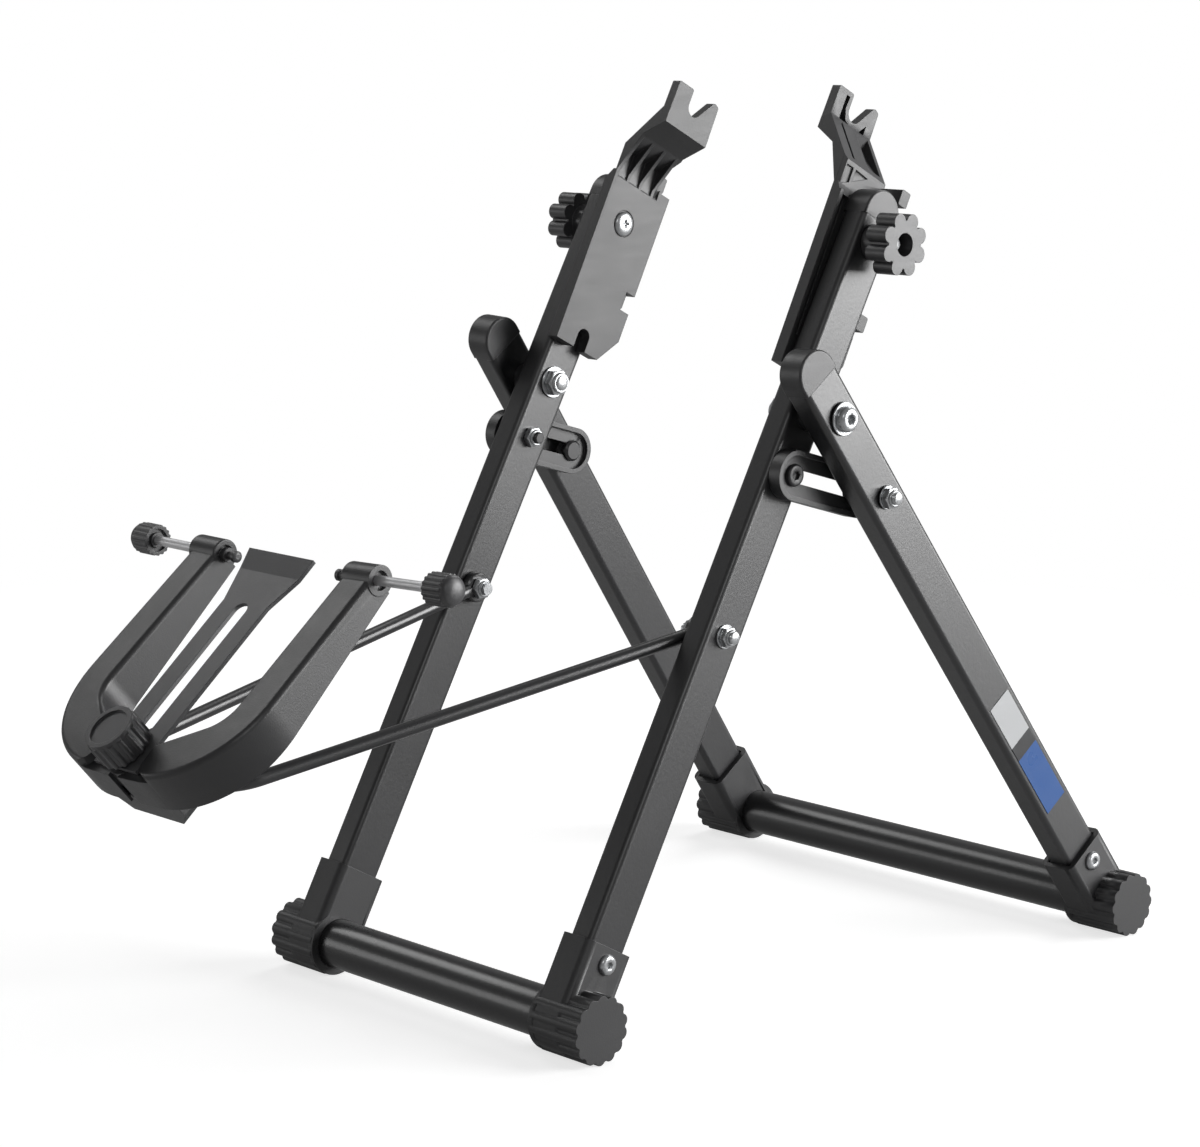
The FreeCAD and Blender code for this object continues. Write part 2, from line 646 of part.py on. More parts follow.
def front_frame():
    """Uprights, caps, front feet, cross tube and their screws."""
    holes = [
        (f"{UPRIGHT_LENGTH}", "pivot_radius + running_fit", True),
        (f"{UPRIGHT_LENGTH} - link_below", "small_bolt_radius + running_fit", True),
        ("swing_rise", "small_bolt_radius + running_fit", True),
        ("upright_end - bracket_bolt_below", "small_bolt_radius + running_fit", True),
        ("foot_screw_rise", "foot_screw_radius + running_fit", False),
    ]
    upright = leg_tube("upright", "socket_floor", "upright_end", holes)
    upright.Placement = on_upright(size("upright_centre"))
    both_sides(upright, "upright")
    cap = tube_cap("upright_cap")
    cap.Placement = on_upright(size("upright_centre"), size("upright_end"))
    both_sides(cap, "upright_cap")
    front_foot = foot("front_foot", 1, 0.0)
    front_foot.Placement = on_upright(size("upright_centre"))
    both_sides(front_foot, "front_foot")
    tube = cross_tube("front_cross_tube", "upright_centre + cross_seat")
    keep(tube, Placement(Vector(0, 0, GROUND), Rotation()))
    screw = foot_screw("front_foot_screw")
    screw.Placement = on_upright(size("upright_centre"), size("foot_screw_rise"))
    grouped("front_foot_screws", [screw])


def rear_frame():
    """Rear legs, caps, feet, cross tube, their screws and the label plate."""
    holes = [
        (f"{REAR_SLANT}", "pivot_radius + splay_relief", True),
        (f"{REAR_SLANT} - link_drop", "small_bolt_radius + splay_relief", True),
        ("foot_screw_rise", "foot_screw_radius + running_fit", False),
    ]
    leg = leg_tube("rear_leg", "socket_floor", f"{REAR_SLANT} + rear_leg_top", holes)
    leg.Placement = on_rear_leg()
    both_sides(leg, "rear_leg")
    cap = tube_cap("rear_leg_cap")
    cap.Placement = on_rear_leg(REAR_SLANT + size("rear_leg_top"))
    both_sides(cap, "rear_leg_cap")
    rear_foot = foot("rear_foot", -1, -REAR_TILT)
    rear_foot.Placement = on_rear_leg(0, False)
    both_sides(rear_foot, "rear_foot")
    tube = cross_tube("rear_cross_tube", f"{REAR_CENTRE} + rear_splay + cross_seat")
    keep(tube, Placement(Vector(0, size("feet_apart"), GROUND), Rotation()))
    screw = foot_screw("rear_foot_screw")
    screw.Placement = on_rear_leg(size("foot_screw_rise"))
    grouped("rear_foot_screws", [screw])
    label = body("leg_label")
    plate = sketch(label, "YZ", "tube_width / 2")
    draw_rectangle(plate, "-label_width / 2", "label_width / 2", "label_start", "label_start + label_length")
    pad(label, plate, "label_thick")
    keep(label, on_rear_leg())


# ---------------------------------------------------------------- folding pivot
def folding_pivot():
    """Bolts, nuts, washers and spacers of the folding pivot; X starts at the stand's middle."""
    inner = "upright_centre - tube_width / 2"
    outer = "upright_centre + tube_width / 2"
    far = f"{REAR_CENTRE} + tube_width / 2 + splay_relief"
    head = f"{far} + pivot_washer_thick"
    tail = f"{inner} - pivot_washer_thick - pivot_radius * 1.7"
    bolt = turned("pivot_bolt", [
        (tail, "0"),
        (tail, "pivot_radius"),
        (head, "pivot_radius"),
        (head, "pivot_radius * 1.62"),
        (f"{head} + pivot_radius * 0.5", "pivot_radius * 1.62"),
        (f"{head} + pivot_radius * 1.05", "pivot_radius * 1.05"),
        (f"{head} + pivot_radius * 1.05", "0"),
    ])
    hex_cut(bolt, f"{head} + pivot_radius * 1.05", "pivot_radius * 0.75", "pivot_radius * 1.2")
    bolt.Placement = at_pivot()
    grouped("pivot_bolts", [bolt])
    nut = hex_nut("pivot_nut", f"{inner} - pivot_washer_thick - pivot_radius * 1.5",
                  "pivot_radius * 1.5", "pivot_radius * 3.2", "pivot_radius + running_fit")
    nut.Placement = at_pivot()
    grouped("pivot_nuts", [nut])
    washers = []
    for name, start in (("inner_washer", f"{inner} - pivot_washer_thick"), ("outer_washer", far)):
        ring = washer(name, start, "pivot_washer_thick", "pivot_washer_radius", "pivot_radius")
        ring.Placement = at_pivot()
        washers.append(ring)
    grouped("pivot_washers", washers)
    spacer = washer("pivot_spacer", outer, "leg_gap - splay_relief", "spacer_radius", "pivot_radius")
    spacer.Placement = at_pivot()
    grouped("pivot_spacers", [spacer])


def washer(name, start, thick, radius, bolt_radius):
    """Flat ring whose axis is X."""
    item = body(name)
    outline = sketch(item, "YZ", start)
    draw_circle(outline, "0", "0", radius)
    draw_circle(outline, "0", "0", f"{bolt_radius} + running_fit")
    pad(item, outline, thick)
    return item


# ---------------------------------------------------------------- slotted links
def rear_link_place():
    """Height and depth of the link's bolt in the rear leg."""
    lean = math.radians(REAR_LEAN)
    return (size("pivot_back") + size("link_drop") * math.sin(lean),
            size("pivot_rise") + GROUND - size("link_drop") * math.cos(lean))


def links():
    """Slotted links that stop the rear frame when it is open, and their bolts."""
    front = on_upright(0, UPRIGHT_LENGTH - size("link_below")).Base
    back_y, back_z = rear_link_place()
    span = math.hypot(back_y - front.y, back_z - front.z)
    rise = math.degrees(math.atan2(back_z - front.z, back_y - front.y))
    frame = Placement(front, Rotation(ABOUT_X, rise))
    near = "upright_centre + tube_width / 2 + link_clear"

    link = body("link")
    for x_start, length, radius, cut in (
            (near, "link_thick", "link_radius", False),
            (f"{near} + link_thick", "link_recess", "link_radius - link_rim", True),
            (f"{near} + link_recess", "link_recess", "link_radius - link_rim", True),
            (f"{near} + link_thick", "link_thick", "link_slot_radius", True)):
        for shape in ("bar", "front_end", "back_end"):
            outline = sketch(link, "YZ", x_start)
            if shape == "bar":
                draw_rectangle(outline, "0", f"{span}", f"-({radius})", radius)
            elif shape == "front_end":
                draw_circle(outline, "0", "0", radius)
            else:
                draw_circle(outline, f"{span}", "0", radius)
            (pocket if cut else pad)(link, outline, length)
    link.Placement = frame
    both_sides(link, "link")

    face = f"{near} + link_thick - link_recess"
    bolt = turned("link_bolt", [
        ("upright_centre - tube_width / 2 - small_nut_height - 2", "0"),
        ("upright_centre - tube_width / 2 - small_nut_height - 2", "small_bolt_radius"),
        (face, "small_bolt_radius"),
        (face, "small_bolt_radius * 1.9"),
        (f"{face} + link_recess * 0.5", "small_bolt_radius * 1.9"),
        (f"{face} + link_recess", "small_bolt_radius * 1.5"),
        (f"{face} + link_recess", "0"),
    ])
    hex_cut(bolt, f"{face} + link_recess", "link_recess * 0.8", "small_bolt_radius * 1.33")
    bolt.Placement = frame
    grouped("link_bolts", [bolt])
    nut = hex_nut("link_nut", "upright_centre - tube_width / 2 - small_nut_height", "small_nut_height",
                  "small_nut_flats", "small_bolt_radius + running_fit")
    nut.Placement = frame
    grouped("link_nuts", [nut])

    far_end = Placement(Vector(0, back_y, back_z), Rotation(ABOUT_X, rise))
    stud = turned("link_stud", [
        ("upright_centre + tube_width / 2 + link_clear", "0"),
        ("upright_centre + tube_width / 2 + link_clear", "small_bolt_radius * 1.5"),
        (f"{near} + link_recess * 0.5", "small_bolt_radius * 1.9"),
        (f"{near} + link_recess", "small_bolt_radius * 1.9"),
        (f"{near} + link_recess", "small_bolt_radius"),
        (f"{near} + link_thick", "small_bolt_radius"),
        (f"{near} + link_thick", "0"),
    ])
    stud.Placement = far_end
    both_sides(stud, "link_stud")

    leg_face = f"{REAR_CENTRE + size('link_drop') * size('rear_splay') / REAR_LENGTH} + tube_width / 2"
    rear_bolt = turned("rear_link_bolt", [
        (f"{leg_face} - tube_width", "0"),
        (f"{leg_face} - tube_width", "small_bolt_radius"),
        (f"{leg_face} + small_washer_thick + small_nut_height + 2 + splay_relief", "small_bolt_radius"),
        (f"{leg_face} + small_washer_thick + small_nut_height + 2 + splay_relief", "0"),
    ])
    rear_bolt.Placement = far_end
    ring = washer("rear_link_washer", f"{leg_face} + splay_relief", "small_washer_thick",
                  "small_washer_radius", "small_bolt_radius")
    ring.Placement = far_end
    rear_nut = hex_nut("rear_link_nut", f"{leg_face} + splay_relief + small_washer_thick", "small_nut_height",
                       "small_nut_flats", "small_bolt_radius + running_fit")
    rear_nut.Placement = far_end
    grouped("rear_link_bolts", [rear_bolt, ring, rear_nut])


# ---------------------------------------------------------------- dropout brackets
def bracket_plate(item, inner, outer):
    """Add the bracket's plate, hollow towards the upright, and its two locating tabs."""
    plate = sketch(item, "YZ", inner)
    draw_outline(plate, [
        ("-bracket_front", "-bracket_foot"),
        ("bracket_back - 10.6", "-bracket_foot"),
        ("bracket_back", "14.8 - bracket_foot"),
        ("bracket_back", "tab_high - tab_height / 2"),
        ("dropout_back", "tab_high - tab_height / 2"),
        ("dropout_back", "bracket_step - 4"),
        ("-bracket_front", "bracket_step - 4"),
    ])
    pad(item, plate, "bracket_standoff")
    ribs = ["-bracket_front", "-tube_depth / 2 + bracket_wall", "tube_depth / 2 - bracket_wall",
            "bracket_back - bracket_wall"]
    for left, right in zip(ribs[:-1], ribs[1:]):
        hollow = sketch(item, "YZ", outer)
        draw_rectangle(hollow, f"{left} + bracket_wall", right, "16 - bracket_foot", "bracket_step - 4")
        pocket(item, hollow, "bracket_standoff - bracket_face")
    post = sketch(item, "YZ", inner)
    draw_circle(post, "0", "0", "bracket_head_radius + bracket_wall")
    pad(item, post, "bracket_standoff")
    for place in ("tab_low", "tab_high"):
        notch = sketch(item, "YZ", outer)
        draw_rectangle(notch, "tab_start + tab_thick - 2", "bracket_back + 1",
                       f"{place} - tab_height / 2 - 1", f"{place} + tab_height / 2 + 1")
        pocket(item, notch, "bracket_standoff")
        tab = sketch(item, "YZ", f"{inner} + bracket_face / 2")
        draw_rectangle(tab, "tab_start", "tab_start + tab_thick",
                       f"{place} - tab_height / 2", f"{place} + tab_height / 2", "1")
        pad(item, tab, "bracket_standoff + tab_reach - bracket_face / 2")


def bracket_ledge(item, inner, outer):
    """Add the ribbed ledge that carries the dropout inward."""
    foot_side = "dropout_inner + dropout_thick"
    ledge = sketch(item, "XZ", "bracket_front")
    draw_outline(ledge, [
        (inner, "bracket_step"),
        ("dropout_inner + 13.4", "dropout_foot - 7.7"),
        ("dropout_inner", "dropout_foot"),
        ("dropout_inner", "dropout_foot + 6"),
        (foot_side, "dropout_foot + 8.4"),
        ("bracket_crest_side", "bracket_crest"),
        ("bracket_crest_side", "bracket_step"),
        (outer, "bracket_step - 6"),
        (inner, "bracket_step - 6"),
    ])
    raised = pad(item, ledge, "bracket_front + dropout_back")
    raised.Reversed = True
    settle(item, raised)
    inner_bays = (("-bracket_front + bracket_wall", "-8.6"), ("-6.6", "1.1"), ("3.1", "11.2"),
                  ("13.2", "dropout_back + 1"))
    for low, high in inner_bays:
        bay = sketch(item, "XZ", f"-({low})")
        draw_outline(bay, [
            (f"{inner} - 1", "bracket_step - 4.5"),
            (f"{inner} + 1.2", "bracket_step - 2"),
            ("bracket_crest_side - 1.7", "bracket_crest - 1.3"),
            ("dropout_inner + 12", "dropout_foot - 7.6"),
        ])
        pocket(item, bay, f"({high}) - ({low})")
    outer_bays = (("-10.8", "-9"), ("2", "12.5"))
    for low, high in outer_bays:
        bay = sketch(item, "XZ", f"-({low})")
        draw_outline(bay, [
            (f"{foot_side} + 1.5", "dropout_foot + 9"),
            (f"{foot_side} + 0.6", "dropout_foot + 1.2"),
            ("dropout_inner + 12.4", "dropout_foot - 5.4"),
            ("bracket_crest_side - 3", "bracket_crest + 2"),
            ("bracket_crest_side - 1.4", "bracket_crest + 4"),
        ])
        pocket(item, bay, f"({high}) - ({low})")
    corner_bays = (
        [("-15.4", "bracket_step"), ("-10.2", "bracket_step + 2.6"), ("-10.2", "bracket_crest - 2.4"),
         ("-15.4", "bracket_crest - 2.4")],
        [("-8.2", "bracket_step + 3.8"), ("2", "bracket_crest - 3"), ("-8.2", "bracket_crest - 2.4")],
    )
    for corners in corner_bays:
        bay = sketch(item, "YZ", outer)
        draw_outline(bay, corners)
        pocket(item, bay, f"{outer} - bracket_crest_side + 1")
    chamfer = sketch(item, "XY", "bracket_crest + 30")
    draw_outline(chamfer, [
        ("bracket_crest_side - bracket_chamfer", "-bracket_front - 1"),
        ("bracket_crest_side - bracket_chamfer", "-bracket_front"),
        ("bracket_crest_side", "bracket_chamfer - bracket_front"),
        (f"{outer} + 1", "bracket_chamfer - bracket_front"),
        (f"{outer} + 1", "-bracket_front - 1"),
    ])
    pocket(item, chamfer, "30 + bracket_crest - bracket_step")


def bracket_dropout(item, inner):
    """Add the dropout plate with its slot for the axle and its two moulded pockets."""
    outer = "dropout_inner + dropout_thick"
    blade = sketch(item, "YZ", "dropout_inner")
    draw_outline(blade, [
        ("-bracket_front", "dropout_foot"),
        ("-bracket_front + 0.4", "dropout_tip", "1"),
        ("axle_back - axle_radius", "dropout_tip", "1.2"),
        ("axle_back - axle_radius", "axle_rise - 16.6", "axle_radius"),
        ("axle_back + 12.2", "dropout_tip + 0.6", "2"),
        ("dropout_back - 0.4", "dropout_tip - 0.8", "1.6"),
        ("dropout_back", "dropout_foot"),
    ])
    pad(item, blade, "dropout_thick")
    pockets = (
        [("-10.9", "dropout_tip - 2.5"), ("-8.2", "dropout_tip - 2.5"), ("-8.7", "axle_rise - 0.6"),
         ("-6.4", "axle_rise - 6"), ("0.6", "axle_rise - 9"), ("-2.7", "axle_rise - 9.8"),
         ("-10.1", "axle_rise - 9.2"), ("-11", "axle_rise - 6.6")],
        [("9.6", "axle_rise - 2.4"), ("9.4", "axle_rise - 11.4"), ("4.5", "axle_rise - 10.6"),
         ("4.6", "axle_rise - 8.8")],
    )
    for corners in pockets:
        moulded = sketch(item, "YZ", outer)
        draw_outline(moulded, corners)
        pocket(item, moulded, "dropout_thick * 0.65")


def bracket():
    """Right-hand dropout bracket; its X starts at the stand's middle, its Z at its bolt."""
    outer = "upright_centre - tube_width / 2 - running_fit * 4"
    inner = f"{outer} - bracket_standoff"
    item = body("dropout_bracket")
    bracket_plate(item, inner, outer)
    bracket_ledge(item, inner, outer)
    bracket_dropout(item, inner)
    foot_notch = sketch(item, "YZ", outer)
    draw_rectangle(foot_notch, "-notch_radius", "notch_radius", "-bracket_foot - 1", "7 - bracket_foot")
    pocket(item, foot_notch, "bracket_standoff")
    notch_end = sketch(item, "YZ", outer)
    draw_circle(notch_end, "0", "7 - bracket_foot", "notch_radius")
    pocket(item, notch_end, "bracket_standoff")
    recess = sketch(item, "YZ", f"{inner} + 0.8")
    draw_circle(recess, "0", "0", "bracket_head_radius + 0.7")
    pocket(item, recess, "0.8")
    bore_across(item, inner, outer, "0", "0", "small_bolt_radius + running_fit")
    item.Placement = on_bracket()
    both_sides(item, "dropout_bracket")

    head = f"{inner} + 0.8"
    tail = "upright_centre + tube_width / 2 + star_hub_length + star_thick - 5"
    bolt = turned("bracket_bolt", [
        (f"{head} - bracket_head_height", "0"),
        (f"{head} - bracket_head_height", "bracket_head_radius * 0.42"),
        (f"{head} - bracket_head_height * 0.72", "bracket_head_radius * 0.78"),
        (f"{head} - bracket_head_height * 0.3", "bracket_head_radius"),
        (head, "bracket_head_radius"),
        (head, "small_bolt_radius"),
        (tail, "small_bolt_radius"),
        (tail, "0"),
    ])
    bolt.Placement = on_bracket()
    grouped("bracket_bolts", [bolt])


def star_knob():
    """Right-hand star knob, its axis along X."""
    item = body("star_knob")
    start = "upright_centre + tube_width / 2 + play * 3"
    hub = sketch(item, "YZ", start)
    draw_circle(hub, "0", "0", "star_hub_radius")
    pad(item, hub, "star_hub_length")
    core = sketch(item, "YZ", f"{start} + star_hub_length")
    draw_circle(core, "0", "0", "star_radius - star_lobe_radius")
    pad(item, core, "star_thick")
    lobe = sketch(item, "YZ", f"{start} + star_hub_length")
    draw_circle(lobe, "0", "star_radius - star_lobe_radius", "star_lobe_radius")
    raised = pad(item, lobe, "star_thick")
    repeat(item, [raised], "X", "star_lobes")
    end = f"{start} + star_hub_length + star_thick"
    bore_across(item, start, end, "0", "0", "small_bolt_radius + running_fit")
    bore_across(item, f"{end} - star_thick * 0.7", end, "0", "0", "star_hole")
    item.Placement = on_bracket()
    both_sides(item, "star_knob")


# ---------------------------------------------------------------- swing arm
def swing_arm():
    """Bent rod with flattened eyes, its bolts and nuts, and the base block."""
    face = "upright_centre - tube_width / 2 - running_fit * 4"
    eye_middle = size("upright_centre") - size("tube_width") / 2 - size("running_fit") * 4 - size("eye_thick") / 2
    reach = size("rod_reach")
    half = size("rod_half_width")
    bend = size("rod_bend")
    slope = math.atan2(eye_middle - half, reach)
    setback = bend * math.tan((math.pi / 2 - slope) / 2)
    corner = Vector(half, -reach, 0)
    leg_way = Vector(math.sin(slope), math.cos(slope), 0)
    leg_end = corner + leg_way * setback
    bar_end = corner + Vector(-setback, 0, 0)
    centre = bar_end + Vector(0, bend, 0)
    middle = centre + (corner - centre).normalize() * bend
    clear_of_nut = leg_way * size("eye_radius") * 0.85
    path_points = [Vector(eye_middle, 0, 0) - clear_of_nut, leg_end, middle, bar_end]
    mirror = [Vector(-point.x, point.y, point.z) for point in path_points]
    path = Part.Wire([
        Part.LineSegment(path_points[0], path_points[1]).toShape(),
        Part.Arc(path_points[1], path_points[2], path_points[3]).toShape(),
        Part.LineSegment(path_points[3], mirror[3]).toShape(),
        Part.Arc(mirror[3], mirror[2], mirror[1]).toShape(),
        Part.LineSegment(mirror[1], mirror[0]).toShape(),
    ])
    section = Part.Wire([Part.makeCircle(size("rod_radius"), path_points[0], leg_way)])
    shape = path.makePipeShell([section], True, False)
    for side in (1, -1):
        start = Vector(side * eye_middle - size("eye_thick") / 2, 0, 0)
        eye = Part.makeCylinder(size("eye_radius"), size("eye_thick"), start, ABOUT_X)
        shape = shape.fuse(eye)
    for side in (1, -1):
        hole = Part.makeCylinder(size("small_bolt_radius") + size("running_fit"), size("eye_thick") * 4,
                                 Vector(side * eye_middle - size("eye_thick") * 2, 0, 0), ABOUT_X)
        shape = shape.cut(hole)
        outside = Part.makeBox(size("eye_thick") * 2, size("eye_radius") * 4, size("eye_radius") * 4,
                               Vector(side * (eye_middle + size("eye_thick") * 1.5) - size("eye_thick"),
                                      -size("eye_radius") * 2, -size("eye_radius") * 2))
        shape = shape.cut(outside)
    rod = DOC.addObject("Part::Feature", "swing_rod")
    rod.Label = "swing_rod"
    rod.Shape = shape
    keep(rod, on_swing_arm())

    outer = "upright_centre + tube_width / 2"
    head = f"{face} - eye_thick - small_nut_height - 2"
    bolt = turned("swing_bolt", [
        (head, "0"),
        (head, "small_bolt_radius"),
        (f"{outer} + small_washer_thick", "small_bolt_radius"),
        (f"{outer} + small_washer_thick", "small_bolt_radius * 1.75"),
        (f"{outer} + small_washer_thick + small_bolt_radius * 1.6", "small_bolt_radius * 1.7"),
        (f"{outer} + small_washer_thick + small_bolt_radius * 2.2", "small_bolt_radius * 1.1"),
        (f"{outer} + small_washer_thick + small_bolt_radius * 2.2", "0"),
    ])
    bolt.Placement = on_upright(0, size("swing_rise"))
    grouped("swing_bolts", [bolt])
    nut = hex_nut("swing_nut", f"{face} - eye_thick - small_nut_height - running_fit * 4",
                  "small_nut_height", "small_nut_flats", "small_bolt_radius + running_fit")
    nut.Placement = on_upright(0, size("swing_rise"))
    ring = washer("swing_washer", outer, "small_washer_thick", "small_washer_radius", "small_bolt_radius")
    ring.Placement = on_upright(0, size("swing_rise"))
    grouped("swing_nuts", [nut, ring])


def clamp_base():
    """Base block under the jaws, and the clamp bolt through it."""
    top = "-(jaw_foot + running_fit * 4)"
    item = body("clamp_block")
    outline = sketch(item, "XZ", "block_front")
    draw_outline(outline, [
        ("-block_low_half", f"{top} - block_depth"),
        ("block_low_half", f"{top} - block_depth"),
        ("block_top_half", f"{top} - block_depth * 0.45"),
        ("block_top_half", top),
        ("-block_top_half", top),
        ("-block_top_half", f"{top} - block_depth * 0.45"),
    ])
    raised = pad(item, outline, "block_front + block_back")
    raised.Reversed = True
    DOC.recompute()
    groove = sketch(item, "YZ", "block_top_half + 1")
    draw_rectangle(groove, "clamp_reach - rod_radius - play", "clamp_reach + rod_radius + play",
                   "-clamp_over_rod", f"{top} + 1")
    pocket(item, groove, "2 * block_top_half + 2")
    rounding = sketch(item, "YZ", "block_top_half + 1")
    draw_circle(rounding, "clamp_reach", "-clamp_over_rod", "rod_radius + play")
    pocket(item, rounding, "2 * block_top_half + 2")
    hole = sketch(item, "XY", top)
    draw_circle(hole, "0", "0", "clamp_bolt_radius + running_fit")
    pocket(item, hole, "block_depth")
    seat = sketch(item, "XY", f"{top} - block_depth + 4")
    draw_circle(seat, "0", "0", "clamp_bolt_radius * 2 + play")
    pocket(item, seat, "4")
    keep(item, on_caliper())

    low = f"{top} - block_depth + 4"
    bolt = turned_upright("clamp_bolt", [
        ("0", f"{low} - 3.6"),
        ("clamp_bolt_radius * 1.9", f"{low} - 3.6"),
        ("clamp_bolt_radius * 1.9", low),
        ("clamp_bolt_radius", low),
        ("clamp_bolt_radius", "gauge_lift + gauge_thick + clamp_knob_lift + clamp_knob_height * 0.7"),
        ("0", "gauge_lift + gauge_thick + clamp_knob_lift + clamp_knob_height * 0.7"),
    ])
    keep(bolt, on_caliper())


# ---------------------------------------------------------------- caliper
def jaw(name, side, inward):
    """One jaw: bow, straight arm, feeler boss and its half of the lap joint on the clamp bolt.

    side is +1 for the right jaw, whose hub is the lower half, and -1 for the left one.
    Its Z starts at the gauge's seat.
    """
    item = body(name)
    thick = "jaw_foot + jaw_crest"
    bow_x = f"{side} * jaw_bow_side"
    bow = sketch(item, "XY", "-jaw_foot")
    draw_circle(bow, bow_x, "jaw_bow_up", "jaw_bow_radius")
    pad(item, bow, thick)
    arm = sketch(item, "XY", "-jaw_foot")
    draw_rectangle(arm, bow_x, f"{side} * (jaw_bow_side + jaw_bow_radius)", "jaw_bow_up", "boss_up")
    pad(item, arm, thick)
    neck = sketch(item, "XY", "-jaw_foot")
    draw_rectangle(neck, f"{side} * jaw_seam", bow_x, "jaw_bow_up - jaw_bow_radius", "jaw_bow_up")
    pad(item, neck, thick)
    waste = sketch(item, "XY", "jaw_crest + 1")
    draw_outline(waste, [
        (f"{-side} * 2 * jaw_bow_radius", "-2 * jaw_bow_radius"),
        (f"{side} * jaw_seam", "-2 * jaw_bow_radius"),
        (f"{side} * jaw_seam", "-jaw_throat"),
        (f"{side} * jaw_inside", "jaw_crook_up", "jaw_crook_radius"),
        (f"{side} * jaw_inside_end", "boss_up + 1"),
        (f"{-side} * 2 * jaw_bow_radius", "boss_up + 1"),
    ])
    pocket(item, waste, f"{thick} + 2")
    above = sketch(item, "YZ", "3 * jaw_bow_radius")
    slope = "(jaw_fall / boss_up)"
    draw_outline(above, [
        ("-jaw_bow_radius", f"jaw_crest + {slope} * jaw_bow_radius"),
        ("boss_up + 1", "jaw_crest - jaw_fall"),
        ("boss_up + 1", "3 * jaw_crest"),
        ("-jaw_bow_radius", "3 * jaw_crest"),
    ])
    pocket(item, above, "6 * jaw_bow_radius")
    below = sketch(item, "YZ", "3 * jaw_bow_radius")
    draw_outline(below, [
        ("block_back + 2", "-jaw_foot - 1"),
        ("block_back + 2", "-jaw_foot"),
        ("boss_up + 1", "jaw_taper - jaw_foot"),
        ("boss_up + 1", "-jaw_foot - 1"),
    ])
    pocket(item, below, "6 * jaw_bow_radius")
    fall = size("jaw_fall") / size("boss_up")
    crest = size("jaw_crest")

    def on_crest(edge):
        return all(abs(point.z - crest + fall * point.y) < 0.4 for point in edge.discretize(3))

    round_off(item, on_crest, "jaw_edge")
    channel = sketch(item, "XY", "jaw_crest * 3")
    draw_outline(channel, [
        (f"{-side} * 2 * gauge_half", "jaw_bow_up"),
        (f"{side} * jaw_cheek", "jaw_bow_up"),
        (f"{side} * jaw_cheek", "-jaw_cheek_low", "jaw_cheek_radius"),
        (f"{side} * 2 * jaw_cheek", "-jaw_cheek_low - jaw_cheek / 2"),
        (f"{-side} * 2 * gauge_half", "-jaw_cheek_low - jaw_cheek / 2"),
    ])
    pocket(item, channel, "jaw_crest * 3")
    hub = sketch(item, "XY", "-jaw_foot")
    draw_circle(hub, "0", "0", "jaw_hub")
    pad(item, hub, "jaw_foot")
    if side > 0:
        lap = sketch(item, "XY", "jaw_crest")
        depth = "jaw_crest + jaw_lap + jaw_lap_gap / 2"
    else:
        lap = sketch(item, "XY", "-jaw_lap + jaw_lap_gap / 2")
        depth = "jaw_foot"
    draw_circle(lap, "0", "0", "jaw_hub + jaw_hub_gap")
    pocket(item, lap, depth)
    boss = sketch(item, "YZ", "boss_inner" if side > 0 else "-boss_outer")
    draw_circle(boss, "boss_up", "-boss_sink", "boss_radius")
    pad(item, boss, "boss_outer - boss_inner")
    round_off(item, lambda edge: lies_at(edge, "X", side * size("boss_inner"))
              and edge.BoundBox.YMax > size("boss_up") + 1, "0.8")
    if side > 0:
        recess_starts = ("boss_outer", "boss_inner + boss_recess")
    else:
        recess_starts = ("boss_recess - boss_outer", "-boss_inner")
    for start in recess_starts:
        recess = sketch(item, "YZ", start)
        draw_circle(recess, "boss_up", "-boss_sink", "boss_recess_radius")
        pocket(item, recess, "boss_recess")
    bore_across(item, "boss_inner - 1" if side > 0 else "-boss_outer - 1",
                "boss_outer + 1" if side > 0 else "-boss_inner + 1",
                "boss_up", "-boss_sink", "feeler_radius + running_fit")
    bolt_hole = sketch(item, "XY", "1")
    draw_circle(bolt_hole, "0", "0", "clamp_bolt_radius + running_fit")
    pocket(item, bolt_hole, "jaw_foot + 2")
    return keep(item, on_jaw(side * size(inward)))


